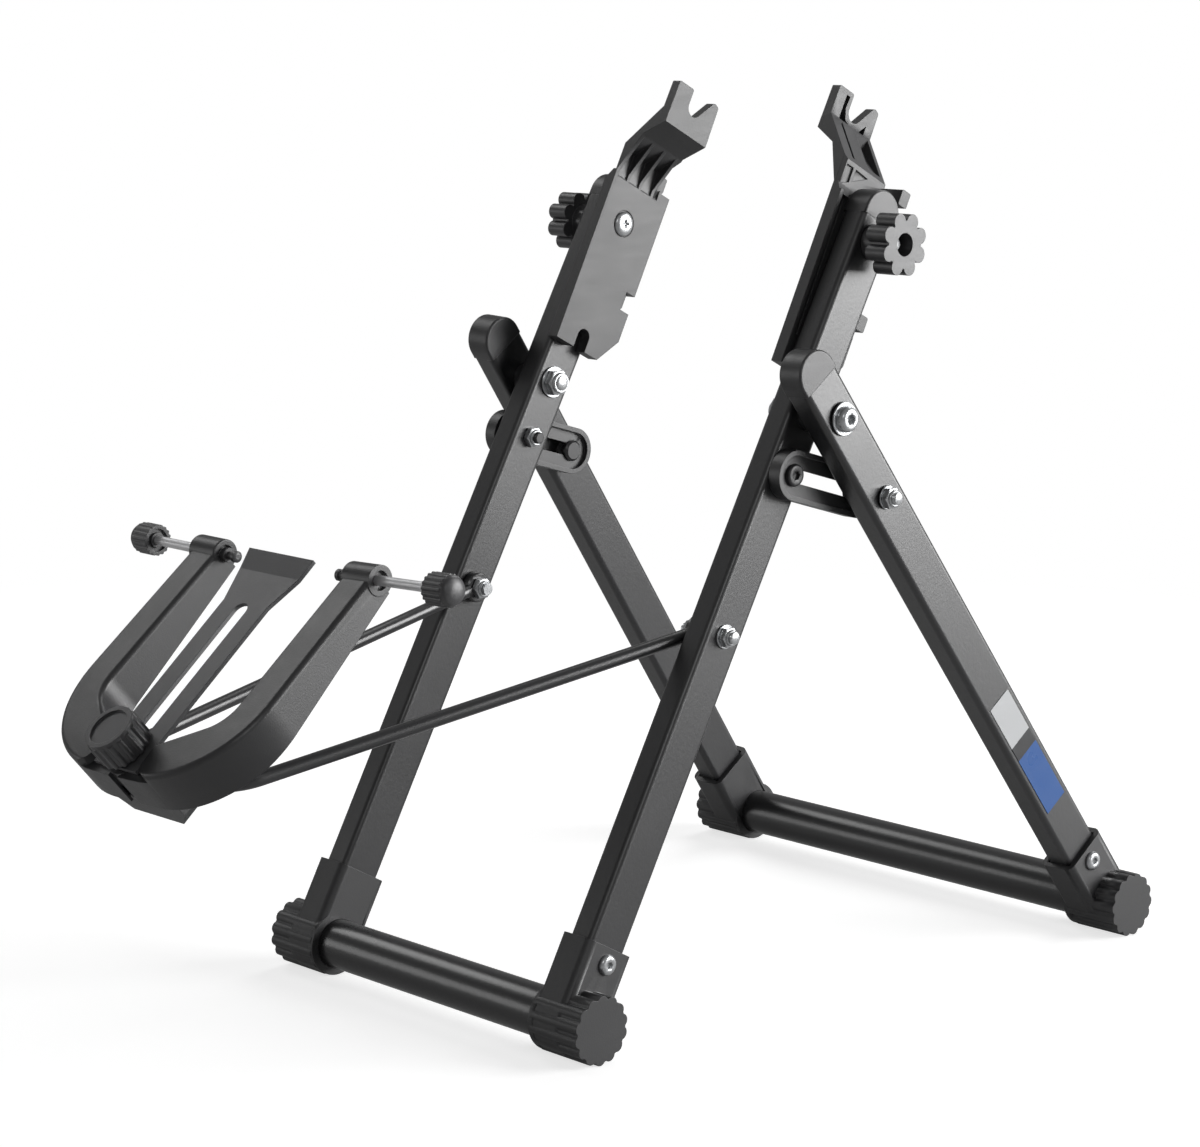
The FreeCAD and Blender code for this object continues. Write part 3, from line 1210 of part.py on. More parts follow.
def gauge():
    """Centre gauge: slotted plate with a flared, folded tip."""
    item = body("centre_gauge")
    plate = sketch(item, "XY", "gauge_lift")
    fold_half = "(gauge_half + (gauge_flare - gauge_half) * 0.72)"
    draw_outline(plate, [
        ("-gauge_half", "-gauge_low"),
        ("gauge_half", "-gauge_low"),
        ("gauge_half", "gauge_neck"),
        (fold_half, "gauge_fold"),
        (f"-{fold_half}", "gauge_fold"),
        ("-gauge_half", "gauge_neck"),
    ])
    pad(item, plate, "gauge_thick")
    tip = sketch(item, "YZ", "-gauge_flare")
    draw_outline(tip, [
        ("gauge_fold", "gauge_lift"),
        ("gauge_fold + gauge_tip", "gauge_lift + gauge_tip_rise"),
        ("gauge_fold + gauge_tip", "gauge_lift + gauge_tip_rise + gauge_thick"),
        ("gauge_fold", "gauge_lift + gauge_thick"),
    ])
    pad(item, tip, "2 * gauge_flare")
    for side in (1, -1):
        trim = sketch(item, "XY", "gauge_lift + gauge_tip_rise + gauge_thick + 1")
        draw_outline(trim, [
            (f"{side} * {fold_half}", "gauge_fold"),
            (f"{side} * gauge_flare", "gauge_fold + gauge_tip"),
            (f"{side} * (gauge_flare + 1)", "gauge_fold + gauge_tip"),
            (f"{side} * (gauge_flare + 1)", "gauge_fold"),
        ])
        pocket(item, trim, "gauge_tip_rise + gauge_thick + 2")
    slot = sketch(item, "XY", "gauge_lift + gauge_thick")
    draw_rectangle(slot, "-gauge_slot", "gauge_slot", "0", "gauge_neck - gauge_slot")
    pocket(item, slot, "gauge_thick")
    for place in ("0", "gauge_neck - gauge_slot"):
        end = sketch(item, "XY", "gauge_lift + gauge_thick")
        draw_circle(end, "0", place, "gauge_slot")
        pocket(item, end, "gauge_thick")
    keep(item, on_caliper())


def clamp_knob():
    """Ribbed knob with a dished top, on the clamp bolt above the gauge."""
    base = "gauge_lift + gauge_thick + clamp_knob_lift"
    item = body("clamp_knob")
    core = sketch(item, "XY", base)
    draw_circle(core, "0", "0", "clamp_knob_radius * 0.93")
    pad(item, core, "clamp_knob_height")
    rib = sketch(item, "XY", base)
    draw_circle(rib, "0", "clamp_knob_radius - 1.5", "1.5")
    raised = pad(item, rib, "clamp_knob_height * 0.86")
    repeat(item, [raised], "Z", "clamp_knob_ribs")
    dish = sketch(item, "XY", f"{base} + clamp_knob_height")
    draw_circle(dish, "0", "0", "clamp_knob_radius * 0.74")
    pocket(item, dish, "1")
    hole = sketch(item, "XY", f"{base} + clamp_knob_height * 0.8")
    draw_circle(hole, "0", "0", "clamp_bolt_radius + running_fit")
    pocket(item, hole, "clamp_knob_height * 0.8")
    keep(item, on_caliper())


def feeler(side_name, side, inward):
    """Feeler nib, screw and knob of one jaw, turned about X outward from the middle."""
    turn = on_jaw(side * size(inward), size("boss_up"), -size("boss_sink"))
    if side < 0:
        turn = Placement(turn.Base, turn.Rotation.multiply(Rotation(Vector(0, 1, 0), 180)))
    face = "boss_inner - play * 3"
    nib = turned("feeler_nib_" + side_name, [
        (f"{face} - nib_length + running_fit * 4", "0"),
        (f"{face} - nib_length", "nib_point * 0.5"),
        (f"{face} - nib_length + 0.7", "nib_point"),
        (f"{face} - nib_length + 2.6", "nib_point"),
        (f"{face} - nib_length + 3", "nib_point * 0.72"),
        (f"{face} - nib_collar", "nib_point * 0.72"),
        (f"{face} - nib_collar", "nib_radius"),
        (face, "nib_radius"),
        (face, "feeler_radius * 0.7 + running_fit"),
        (f"{face} - nib_collar * 1.6", "feeler_radius * 0.7 + running_fit"),
        (f"{face} - nib_collar * 1.6", "0"),
    ])
    keep(nib, turn)
    screw = turned("feeler_screw_" + side_name, [
        (f"{face} - nib_collar * 1.6 + running_fit", "0"),
        (f"{face} - nib_collar * 1.6 + running_fit", "feeler_radius * 0.7"),
        ("boss_inner", "feeler_radius * 0.7"),
        ("boss_inner", "feeler_radius"),
        ("feeler_knob_inner + 9", "feeler_radius"),
        ("feeler_knob_inner + 9", "0"),
    ])
    keep(screw, turn)
    keep(feeler_knob("feeler_knob_" + side_name), turn)


def feeler_knob(name):
    """Ribbed knob with a domed end and a dished inner face, pressed on its screw."""
    knob = body(name)
    core = sketch(knob, "YZ", "feeler_knob_inner")
    draw_circle(core, "0", "0", "feeler_knob_radius * 0.93")
    pad(knob, core, "feeler_knob_outer - feeler_knob_inner - 3.5")
    rib = sketch(knob, "YZ", "feeler_knob_inner")
    draw_circle(rib, "0", "feeler_knob_radius - 0.9", "0.9")
    raised = pad(knob, rib, "feeler_knob_outer - feeler_knob_inner - 4.4")
    repeat(knob, [raised], "X", "feeler_ribs")
    dome = sketch(knob, "XY")
    draw_outline(dome, [
        ("feeler_knob_outer - 3.5", "0"),
        ("feeler_knob_outer - 3.5", "feeler_knob_radius * 0.93"),
        ("feeler_knob_outer - 1.7", "feeler_knob_radius * 0.8"),
        ("feeler_knob_outer - 0.5", "feeler_knob_radius * 0.5"),
        ("feeler_knob_outer", "0"),
    ])
    revolve(knob, dome, "H_Axis")
    dish = sketch(knob, "YZ", "feeler_knob_inner + 1.6")
    draw_circle(dish, "0", "0", "feeler_knob_radius * 0.72")
    draw_circle(dish, "0", "0", "feeler_radius + 1.4")
    pocket(knob, dish, "1.6")
    bore_across(knob, "feeler_knob_inner", "feeler_knob_inner + 9", "0", "0", "feeler_radius")
    return knob


# ---------------------------------------------------------------- assembly
def build():
    """Make every sub-part."""
    front_frame()
    rear_frame()
    folding_pivot()
    links()
    bracket()
    star_knob()
    swing_arm()
    clamp_base()
    jaw("jaw_right", 1, "jaw_rest_right")
    jaw("jaw_left", -1, "jaw_rest_left")
    gauge()
    clamp_knob()
    feeler("right", 1, "jaw_rest_right")
    feeler("left", -1, "jaw_rest_left")


def check():
    """Stop if any object failed, or if a sub-part has no sound shape."""
    DOC.recompute()
    for item in DOC.Objects:
        if "Invalid" in item.State or "Error" in item.State:
            raise RuntimeError(f"{item.Label} failed: {item.State}")
    for item in PARTS:
        if item.Shape.isNull() or not item.Shape.isValid():
            raise RuntimeError(f"{item.Label} has no sound shape")


def write():
    """Write each sub-part to its own STEP file."""
    os.makedirs("parts", exist_ok=True)
    for item in PARTS:
        item.Shape.exportStep(os.path.join("parts", item.Label + ".step"))
        print(f"{item.Label}: {len(item.Shape.Solids)} solid(s), {item.Shape.Volume:.0f} mm3")


build()
check()
write()
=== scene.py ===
"""Finishes, hardware, camera and light of a folding truing stand for bicycle wheels.

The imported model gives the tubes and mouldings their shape.  The classes below paint
those pieces, and build the fasteners, the feeler screws and the bent rod of the swing
arm in finer detail.  Lengths are metres, and X runs along the wheel's axle, Y from the
front feet to the rear feet and Z up.
"""

import json
import logging
from collections.abc import Callable, Mapping, Sequence
from dataclasses import dataclass
from enum import Enum
from math import atan2, cos, hypot, pi, radians, sin, tau

import bmesh
import bpy
from bpy.types import ID, Material, Mesh, Node, NodeSocket, NodeTree, Object, World
from mathutils import Matrix, Vector

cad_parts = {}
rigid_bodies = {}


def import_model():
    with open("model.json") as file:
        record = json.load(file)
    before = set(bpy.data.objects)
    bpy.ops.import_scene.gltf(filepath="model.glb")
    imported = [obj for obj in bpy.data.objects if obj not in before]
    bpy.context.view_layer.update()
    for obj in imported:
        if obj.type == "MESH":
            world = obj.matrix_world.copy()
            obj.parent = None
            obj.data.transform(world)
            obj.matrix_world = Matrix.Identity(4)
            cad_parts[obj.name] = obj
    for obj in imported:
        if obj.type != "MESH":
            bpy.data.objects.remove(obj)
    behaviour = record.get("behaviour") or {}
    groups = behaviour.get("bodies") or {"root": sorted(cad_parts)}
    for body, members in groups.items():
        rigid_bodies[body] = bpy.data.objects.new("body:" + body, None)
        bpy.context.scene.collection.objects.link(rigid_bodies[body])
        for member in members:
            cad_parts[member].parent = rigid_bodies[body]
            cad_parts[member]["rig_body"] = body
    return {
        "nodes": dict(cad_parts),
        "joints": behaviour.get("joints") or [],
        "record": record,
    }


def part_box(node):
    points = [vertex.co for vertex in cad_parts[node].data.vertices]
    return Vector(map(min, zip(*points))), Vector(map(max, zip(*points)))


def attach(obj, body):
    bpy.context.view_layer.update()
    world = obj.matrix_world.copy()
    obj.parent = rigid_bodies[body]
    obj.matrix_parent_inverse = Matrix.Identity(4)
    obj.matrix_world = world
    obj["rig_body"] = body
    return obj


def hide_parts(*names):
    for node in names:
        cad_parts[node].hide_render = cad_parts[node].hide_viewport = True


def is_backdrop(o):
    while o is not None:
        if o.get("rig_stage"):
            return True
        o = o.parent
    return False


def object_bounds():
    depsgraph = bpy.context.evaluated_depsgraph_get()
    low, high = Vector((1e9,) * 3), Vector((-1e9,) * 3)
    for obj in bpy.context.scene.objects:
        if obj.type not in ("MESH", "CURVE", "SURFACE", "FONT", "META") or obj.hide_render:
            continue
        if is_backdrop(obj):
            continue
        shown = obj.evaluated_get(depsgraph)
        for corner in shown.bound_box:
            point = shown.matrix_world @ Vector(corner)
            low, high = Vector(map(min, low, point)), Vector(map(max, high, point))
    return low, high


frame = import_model()

LOG = logging.getLogger("truing_stand")
ACROSS = Vector((1.0, 0.0, 0.0))
TURNED_PLACE = "turned_place"
SAME_PLACE = 1e-6
BLACK_GLOSS = 0.8
FACE_AREA_WEIGHT = 70

# Angles between two faces, in degrees: shading breaks over a sharp edge, and a flat edge
# is dissolved.
SHARP_EDGE = 32.0
SHARP_SKIN_EDGE = 26.0
SHARP_THREAD_EDGE = 75.0
FLAT_EDGE = 0.3

Colour = tuple[float, float, float]
Triple = tuple[float, float, float]


class Slot(str, Enum):
    """Material slots of the record."""

    FRAME = "frame_paint"
    CROSS = "cross_paint"
    ROD = "rod_paint"
    CAP = "black_plastic"
    FOOT = "foot_rubber"
    BRACKET = "bracket_plastic"
    JAW = "jaw_plastic"
    GAUGE = "gauge_plastic"
    KNOB = "knob_plastic"
    STEEL = "steel"
    FEELER = "feeler_steel"
    DARK_STEEL = "dark_steel"
    LABEL = "label"


# ------------------------------ node tools
def operators(operation: str) -> tuple[Callable, Callable]:
    """Return an arithmetic operator that adds one Math node, and its reflected form."""

    def plain(own: "Signal", other: "Signal | float") -> "Signal":
        return own.math(operation, own, other)

    def reflected(own: "Signal", other: float) -> "Signal":
        return own.math(operation, other, own)

    return plain, reflected


class Signal:
    """A value inside a node tree, on which ordinary arithmetic adds Math nodes."""

    __add__, __radd__ = operators("ADD")
    __sub__, __rsub__ = operators("SUBTRACT")
    __mul__, __rmul__ = operators("MULTIPLY")
    __truediv__, __rtruediv__ = operators("DIVIDE")

    def __init__(self, tree: "NodeTools", socket: NodeSocket) -> None:
        self.tree = tree
        self.socket = socket

    def math(self, operation: str, *terms: "Signal | float") -> "Signal":
        """Return the outcome of one Math node on the given terms."""
        node = self.tree.node("ShaderNodeMath", {"operation": operation}, dict(enumerate(terms)))
        return self.tree.signal(node)

    def above(self, limit: "Signal | float") -> "Signal":
        """Return 1 where this value is over a limit, and 0 elsewhere."""
        return self.math("GREATER_THAN", self, limit)

    def power(self, exponent: float) -> "Signal":
        """Return this value raised to a power."""
        return self.math("POWER", self, exponent)

    def within(self) -> "Signal":
        """Return this value held between 0 and 1."""
        return self.tree.signal(self.tree.node("ShaderNodeClamp", inputs={"Value": self}))


class NodeTools:
    """Adds nodes to one node tree."""

    def __init__(self, tree: NodeTree) -> None:
        self.nodes = tree.nodes
        self.links = tree.links

    def node(self, kind: str, settings: Mapping[str, object] | None = None,
             inputs: Mapping[str | int, object] | None = None) -> Node:
        """Add a node.

        Args:
            kind: Blender's type name of the node.
            settings: attributes of the node and their values, which are set first.
            inputs: input sockets, and for each a constant, a Signal or a node whose first
                output goes there.

        Returns:
            The new node.
        """
        made = self.nodes.new(kind)
        for name, value in (settings or {}).items():
            setattr(made, name, value)
        for key, value in (inputs or {}).items():
            if isinstance(value, Node):
                value = self.signal(value)
            if isinstance(value, Signal):
                self.links.new(value.socket, made.inputs[key])
            else:
                made.inputs[key].default_value = value
        return made

    def signal(self, node: Node, output: str | int = 0) -> Signal:
        """Return one output of a node as a Signal."""
        return Signal(self, node.outputs[output])


class ShaderTree(NodeTools):
    """The node tree of a new material or world."""

    def __init__(self, owner: Material | World) -> None:
        owner.use_nodes = True
        super().__init__(owner.node_tree)
        self.owner = owner
        self.nodes.clear()
        self.place = self.signal(self.node("ShaderNodeTexCoord"), "Object")

    def vector_math(self, operation: str, *terms: object, output: str = "Value") -> Signal:
        """Return one output of a Vector Math node on the given terms."""
        node = self.node("ShaderNodeVectorMath", {"operation": operation}, dict(enumerate(terms)))
        return self.signal(node, output)

    def noise(self, scale: float, detail: float, place: Signal | Node | None = None) -> Signal:
        """Return noise between 0 and 1 over the object, or over another place."""
        node = self.node("ShaderNodeTexNoise", inputs={
            "Vector": place or self.place, "Scale": scale, "Detail": detail})
        return self.signal(node, "Fac")

    def stretched(self, scale: Triple) -> Signal:
        """Return the object's coordinates scaled by its own amount along each axis."""
        return self.vector_math("MULTIPLY", self.place, scale, output="Vector")

    def along(self, start: Vector, direction: Vector) -> Signal:
        """Return the distance from a start along a direction."""
        return self.vector_math("DOT_PRODUCT", self.place, tuple(direction)) - start.dot(direction)

    def blend(self, first: Colour | Signal, second: Colour | Signal, share: Signal) -> Signal:
        """Return a colour between two others, by a share that varies."""
        ends = [end if isinstance(end, Signal) else (*end, 1.0) for end in (first, second)]
        node = self.node("ShaderNodeMix", {"data_type": "RGBA"}, {0: share, 6: ends[0], 7: ends[1]})
        return self.signal(node, 2)

    def varied(self, base: float, *parts: tuple[Signal, float]) -> Signal:
        """Return a base value that each part, a noise and its range, moves up and down."""
        total = base
        for noise, span in parts:
            total = total + (noise - 0.5) * span
        return total

    def rounded(self, radius: float) -> Node:
        """Return the normal, rounded over sharp edges by a radius."""
        return self.node("ShaderNodeBevel", {"samples": 4}, {"Radius": radius})

    def relief(self, rounded: Node, height: Signal, depth: float, strength: float) -> Node:
        """Return a normal with a fine relief.

        Args:
            rounded: normal that the relief stands on.
            height: relief between 0 and 1.
            depth: the relief's real depth.
            strength: how much of the relief shows.

        Returns:
            The normal.
        """
        return self.node("ShaderNodeBump", inputs={
            "Height": height, "Distance": depth, "Strength": strength, "Normal": rounded})

    def edge_share(self, rounded: Node, gain: float) -> Signal:
        """Return how much a rounded normal turns from the surface's own, between 0 and 1."""
        flat = self.signal(self.node("ShaderNodeNewGeometry"), "Normal")
        return ((1.0 - self.vector_math("DOT_PRODUCT", rounded, flat)) * gain).within()

    def surface(self, **inputs: object) -> Material:
        """Close the tree with a Principled surface and return its material."""
        keys = {name.replace("_", " ").title().replace("Ior", "IOR"): value
                for name, value in inputs.items()}
        return self.close(self.node("ShaderNodeBsdfPrincipled", inputs=keys))

    def close(self, shader: Node) -> Material:
        """Send a shader to the output and return the material."""
        self.node("ShaderNodeOutputMaterial", inputs={"Surface": shader})
        return self.owner


# ------------------------------ finishes
@dataclass(frozen=True)
class Finish:
    """A look that can be made into a material."""

    name: str

    def material(self) -> Material:
        """Make the material."""
        return self.shaded(ShaderTree(bpy.data.materials.new(self.name)))

    def shaded(self, tree: ShaderTree) -> Material:
        """Fill the material's tree and return the material."""
        raise NotImplementedError


@dataclass(frozen=True)
class Paint(Finish):
    """Stoved black paint on metal, with slight orange peel, and edges lightened partly by wear and partly
    as a painted highlight.
    """

    roughness: float
    deep: Colour = (0.010, 0.010, 0.011)
    pale: Colour = (0.017, 0.017, 0.019)
    # Colour laid on the edges: part wear, part a painted highlight.
    edge_wear_and_highlight: Colour = (0.09, 0.09, 0.092)
    peel: float = 520.0
    peel_depth: float = 0.00012
    edge: float = 0.0006

    def shaded(self, tree: ShaderTree) -> Material:
        """Fill the material's tree and return the material."""
        cloud = tree.noise(scale=22.0, detail=3.0)
        handling = tree.noise(scale=9.0, detail=4.0)
        peel = tree.noise(scale=self.peel, detail=1.5)
        rounded = tree.rounded(self.edge)
        # Lighten the edges where the rounded normal turns away, with noise: part wear, part a painted
        # highlight.
        wear_and_highlight_mask = tree.edge_share(rounded, gain=2.2) * tree.noise(scale=140.0, detail=3.0)
        return tree.surface(
            base_color=tree.blend(tree.blend(self.deep, self.pale, cloud), self.edge_wear_and_highlight, wear_and_highlight_mask),
            roughness=tree.varied(self.roughness, (handling, 0.16), (peel, 0.05)),
            specular_ior_level=BLACK_GLOSS, coat_weight=0.15, coat_roughness=0.18,
            normal=tree.relief(rounded, peel, self.peel_depth, strength=0.35))


@dataclass(frozen=True)
class Moulding(Finish):
    """Moulded plastic with a spark-eroded grain, faint flow marks, and edges lightened partly by wear and
    partly as a painted highlight.
    """

    roughness: float
    deep: Colour = (0.018, 0.018, 0.019)
    pale: Colour = (0.030, 0.030, 0.032)
    # Colour laid on the edges: part wear, part a painted highlight.
    edge_wear_and_highlight: Colour = (0.12, 0.12, 0.122)
    grain: float = 1500.0
    grain_depth: float = 0.00010
    edge: float = 0.0005
    flow_stretch: Triple = (1.0, 1.0, 2.6)
    scuff_stretch: Triple = (1.0, 0.15, 1.0)

    def shaded(self, tree: ShaderTree) -> Material:
        """Fill the material's tree and return the material."""
        grain = tree.noise(scale=self.grain, detail=2.0)
        flow = tree.noise(scale=16.0, detail=4.0, place=tree.stretched(self.flow_stretch))
        scratches = tree.noise(scale=260.0, detail=2.0, place=tree.stretched(self.scuff_stretch))
        scuffs = scratches.power(3.0)
        rounded = tree.rounded(self.edge)
        # Lighten the edges where the rounded normal turns away, with noise: part wear, part a painted
        # highlight.
        rub_and_highlight_mask = tree.edge_share(rounded, gain=2.0) * tree.noise(scale=180.0, detail=2.0)
        return tree.surface(
            base_color=tree.blend(tree.blend(self.deep, self.pale, flow), self.edge_wear_and_highlight, rub_and_highlight_mask),
            roughness=tree.varied(self.roughness, (flow, 0.12), (grain, 0.10)) - scuffs * 0.12,
            specular_ior_level=BLACK_GLOSS,
            normal=tree.relief(rounded, grain + flow * 0.6, self.grain_depth, strength=0.4))


@dataclass(frozen=True)
class Steel(Finish):
    """Turned steel, whose tool marks run round the piece's own axis."""

    bright: Colour = (0.60, 0.61, 0.62)
    dull: Colour = (0.34, 0.35, 0.36)
    roughness: float = 0.30
    metallic: float = 0.82
    marks: float = 2600.0
    mark_depth: float = 0.00003
    edge: float = 0.00025

    def shaded(self, tree: ShaderTree) -> Material:
        """Fill the material's tree and return the material."""
        own = tree.signal(tree.node("ShaderNodeAttribute", {"attribute_name": TURNED_PLACE}), "Vector")
        split = tree.node("ShaderNodeSeparateXYZ", inputs={0: own})
        x, y, z = (tree.signal(split, axis) for axis in "XYZ")
        radius = (x * x + y * y).power(0.5)
        ring_place = tree.node("ShaderNodeCombineXYZ", inputs={0: radius, 1: z})
        rings = tree.noise(scale=self.marks, detail=2.0, place=ring_place)
        stains = tree.noise(scale=420.0, detail=3.0)
        relief = tree.relief(tree.rounded(self.edge), rings + stains * 0.4, self.mark_depth, strength=0.5)
        return tree.surface(
            base_color=tree.blend(self.dull, self.bright, (stains * 0.5 + rings * 0.6).within()),
            metallic=self.metallic,
            roughness=tree.varied(self.roughness, (stains, 0.14), (rings, 0.12)),
            normal=relief)


@dataclass(frozen=True)
class PrintedFilm(Finish):
    """Glossy film with three plain blocks of colour, one after another along the leg."""

    start: Vector
    direction: Vector
    blue_end: float = 0.113
    black_end: float = 0.122
    blue: Colour = (0.003, 0.085, 0.33)
    black: Colour = (0.010, 0.010, 0.012)
    white: Colour = (0.55, 0.56, 0.57)
    faded: Colour = (0.30, 0.31, 0.33)
    edge: float = 0.0002
    ink_depth: float = 0.00002

    def shaded(self, tree: ShaderTree) -> Material:
        """Fill the material's tree and return the material."""
        distance = tree.along(self.start, self.direction)
        lower = tree.blend(self.blue, self.black, distance.above(self.blue_end))
        blocks = tree.blend(lower, self.white, distance.above(self.black_end))
        screen = tree.noise(scale=2200.0, detail=1.0)
        ink = tree.noise(scale=60.0, detail=3.0)
        return tree.surface(
            base_color=tree.blend(blocks, self.faded, screen * 0.05 + ink * 0.05),
            roughness=tree.varied(0.30, (ink, 0.15)), coat_weight=0.35,
            normal=tree.relief(tree.rounded(self.edge), screen + ink, self.ink_depth, strength=0.3))


class Palette:
    """Finishes by material slot, each made once."""

    def __init__(self, finishes: Mapping[Slot, Finish]) -> None:
        self.finishes = finishes
        self.made: dict[Slot, Material] = {}
        self.slot_of = {row["node"]: Slot(row["material_slot"]) for row in frame["record"]["subparts"]}

    def material(self, slot: Slot) -> Material:
        """Return the material of a slot."""
        if slot not in self.made:
            self.made[slot] = self.finishes[slot].material()
        return self.made[slot]

    def paint(self, node: str) -> Object:
        """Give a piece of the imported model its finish, on a smoothly shaded copy.

        Args:
            node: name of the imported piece.

        Returns:
            The copy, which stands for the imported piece.
        """
        slot = self.slot_of[node]
        copy = smooth_copy(frame["nodes"][node], "skin." + node)
        copy.data.materials.clear()
        copy.data.materials.append(self.material(slot))
        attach(copy, body_holding(node))
        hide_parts(node)
        return copy


# ------------------------------ mesh tools
def body_holding(node: str) -> str:
    """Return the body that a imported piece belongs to."""
    return frame["nodes"][node]["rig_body"]


def linked(name: str, data: ID) -> Object:
    """Return a new object in the scene for a mesh, a curve, a light or a camera."""
    item = bpy.data.objects.new(name, data)
    bpy.context.scene.collection.objects.link(item)
    return item


def shade(mesh: Mesh, limit: float = SHARP_EDGE) -> None:
    """Shade a mesh smoothly, except over edges sharper than a limit in degrees."""
    mesh.shade_smooth()
    mesh.set_sharp_from_angle(angle=radians(limit))


def finished_mesh(work: bmesh.types.BMesh, name: str) -> Mesh:
    """Return a mesh of what was worked on, and free the working copy."""
    mesh = bpy.data.meshes.new(name)
    work.to_mesh(mesh)
    work.free()
    return mesh


def evaluated_mesh(item: Object, name: str) -> Mesh:
    """Return a mesh of an object as its modifiers leave it."""
    bpy.context.view_layer.update()
    graph = bpy.context.evaluated_depsgraph_get()
    mesh = bpy.data.meshes.new_from_object(item.evaluated_get(graph), depsgraph=graph)
    mesh.name = name
    return mesh


def smooth_copy(source: Object, name: str) -> Object:
    """Return a copy of a piece whose loose triangles are joined into smoothly shaded faces."""
    work = bmesh.new()
    work.from_mesh(source.data)
    bmesh.ops.remove_doubles(work, verts=work.verts, dist=SAME_PLACE)
    bmesh.ops.recalc_face_normals(work, faces=work.faces)
    bmesh.ops.dissolve_limit(work, angle_limit=radians(FLAT_EDGE), verts=work.verts,
                             edges=work.edges)
    joined = finished_mesh(work, name + ".joined")
    shade(joined, SHARP_SKIN_EDGE)
    item = linked(name, joined)
    modifier = item.modifiers.new("weighted", "WEIGHTED_NORMAL")
    modifier.keep_sharp = True
    modifier.weight = FACE_AREA_WEIGHT
    weighted = evaluated_mesh(item, name)
    item.modifiers.remove(modifier)
    item.data = weighted
    bpy.data.meshes.remove(joined)
    return item


class Section(Enum):
    """Outline of a turned piece at one height."""

    ROUND = "round"
    HEXAGON = "hexagon"
    CROSS = "cross"


@dataclass(frozen=True)
class Row:
    """One ring of points of a piece that is made about the Z axis.

    A hexagon's radius reaches to its flats, and its height can slope with the distance
    beyond them.  A cross has arms of that radius, and half their width is a share of it.
    """

    height: float
    radius: float
    section: Section = Section.ROUND
    slope: float = 0.0
    arm_share: float = 0.34

    def point(self, angle: float) -> Vector:
        """Return the point of the ring at an angle."""
        reach = self.radius
        if self.section is Section.HEXAGON:
            reach = self.radius / cos((angle + pi / 6) % (pi / 3) - pi / 6)
        elif self.section is Section.CROSS:
            aside = abs(sin((angle + pi / 4) % (pi / 2) - pi / 4))
            if aside >= self.arm_share:
                reach = self.radius * self.arm_share / aside
        height = self.height + self.slope * (reach - self.radius)
        return Vector((reach * cos(angle), reach * sin(angle), height))


def disc_rows(low: float, high: float, radius: float, bore: float, ease: float) -> list[Row]:
    """Return the rows of a bored disc between two heights, with its outer edges eased."""
    return [Row(low, bore), Row(low, radius - ease), Row(low + ease, radius),
            Row(high - ease, radius), Row(high, radius - ease), Row(high, bore)]


def turned_mesh(name: str, rows: Sequence[Row], ring: bool, segments: int) -> Mesh:
    """Return a closed mesh that joins rows of points about the Z axis.

    Args:
        name: name of the mesh.
        rows: the rows in order; a radius of 0 gives a single point.
        ring: whether the last row joins the first one again, round a bore.
        segments: points in each row.

    Returns:
        The mesh, with its normals outward.
    """
    work = bmesh.new()
    rings = []
    for row in rows:
        count = 1 if row.radius == 0 else segments
        rings.append([work.verts.new(row.point(tau * k / segments)) for k in range(count)])
    pairs = list(zip(rings[:-1], rings[1:]))
    if ring:
        pairs.append((rings[-1], rings[0]))
    for first, second in pairs:
        for k in range(segments):
            corners = [first[k % len(first)], first[(k + 1) % len(first)],
                       second[(k + 1) % len(second)], second[k % len(second)]]
            work.faces.new(list(dict.fromkeys(corners)))
    bmesh.ops.recalc_face_normals(work, faces=work.faces)
    mesh = finished_mesh(work, name)
    shade(mesh)
    return mesh


# ------------------------------ geometry nodes
class GeometryTree(NodeTools):
    """A Geometry Nodes tree that ends in plain geometry with one material."""

    def __init__(self, name: str, inputs: Mapping[str, str]) -> None:
        """Start the tree.

        Args:
            name: name of the tree.
            inputs: named inputs besides the geometry, and the socket type of each.
        """
        self.group = bpy.data.node_groups.new(name, "GeometryNodeTree")
        super().__init__(self.group)
        face = self.group.interface
        face.new_socket("Geometry", in_out="INPUT", socket_type="NodeSocketGeometry")
        for label, kind in {**inputs, "Finish": "NodeSocketMaterial"}.items():
            face.new_socket(label, in_out="INPUT", socket_type=kind)
        face.new_socket("Geometry", in_out="OUTPUT", socket_type="NodeSocketGeometry")
        self.entry = self.node("NodeGroupInput")
        self.identifiers = {item.name: item.identifier for item in face.items_tree
                            if item.in_out == "INPUT"}

    def given(self, label: str) -> Signal:
        """Return one of the tree's named inputs."""
        return self.signal(self.entry, label)

    def remember_place(self, geometry: Signal | Node) -> Node:
        """Store each point's own place, by which the steel finish lays its tool marks."""
        return self.node(
            "GeometryNodeStoreNamedAttribute", {"data_type": "FLOAT_VECTOR", "domain": "POINT"},
            {"Geometry": geometry, "Name": TURNED_PLACE, "Value": self.node("GeometryNodeInputPosition")})

    def close(self, geometry: Node) -> "GeometryTree":
        """Realise the geometry, give it the finish and send it out."""
        real = self.node("GeometryNodeRealizeInstances", inputs={"Geometry": geometry})
        painted = self.node("GeometryNodeSetMaterial", inputs={
            "Geometry": real, "Material": self.given("Finish")})
        self.node("NodeGroupOutput", inputs={0: painted})
        return self

    def apply(self, name: str, start: ID, values: Mapping[str, object]) -> Object:
        """Run the tree once and keep its outcome as a plain mesh.

        Args:
            name: name of the outcome.
            start: mesh or curve that the tree begins with.
            values: a value for each named input.

        Returns:
            The finished object, at the origin.
        """
        holder = linked(name + ".start", start)
        modifier = holder.modifiers.new("tree", "NODES")
        modifier.node_group = self.group
        for label, value in values.items():
            modifier[self.identifiers[label]] = value
        holder.update_tag()
        mesh = evaluated_mesh(holder, name)
        holder.modifiers.remove(modifier)
        bpy.data.objects.remove(holder)
        return linked(name, mesh)


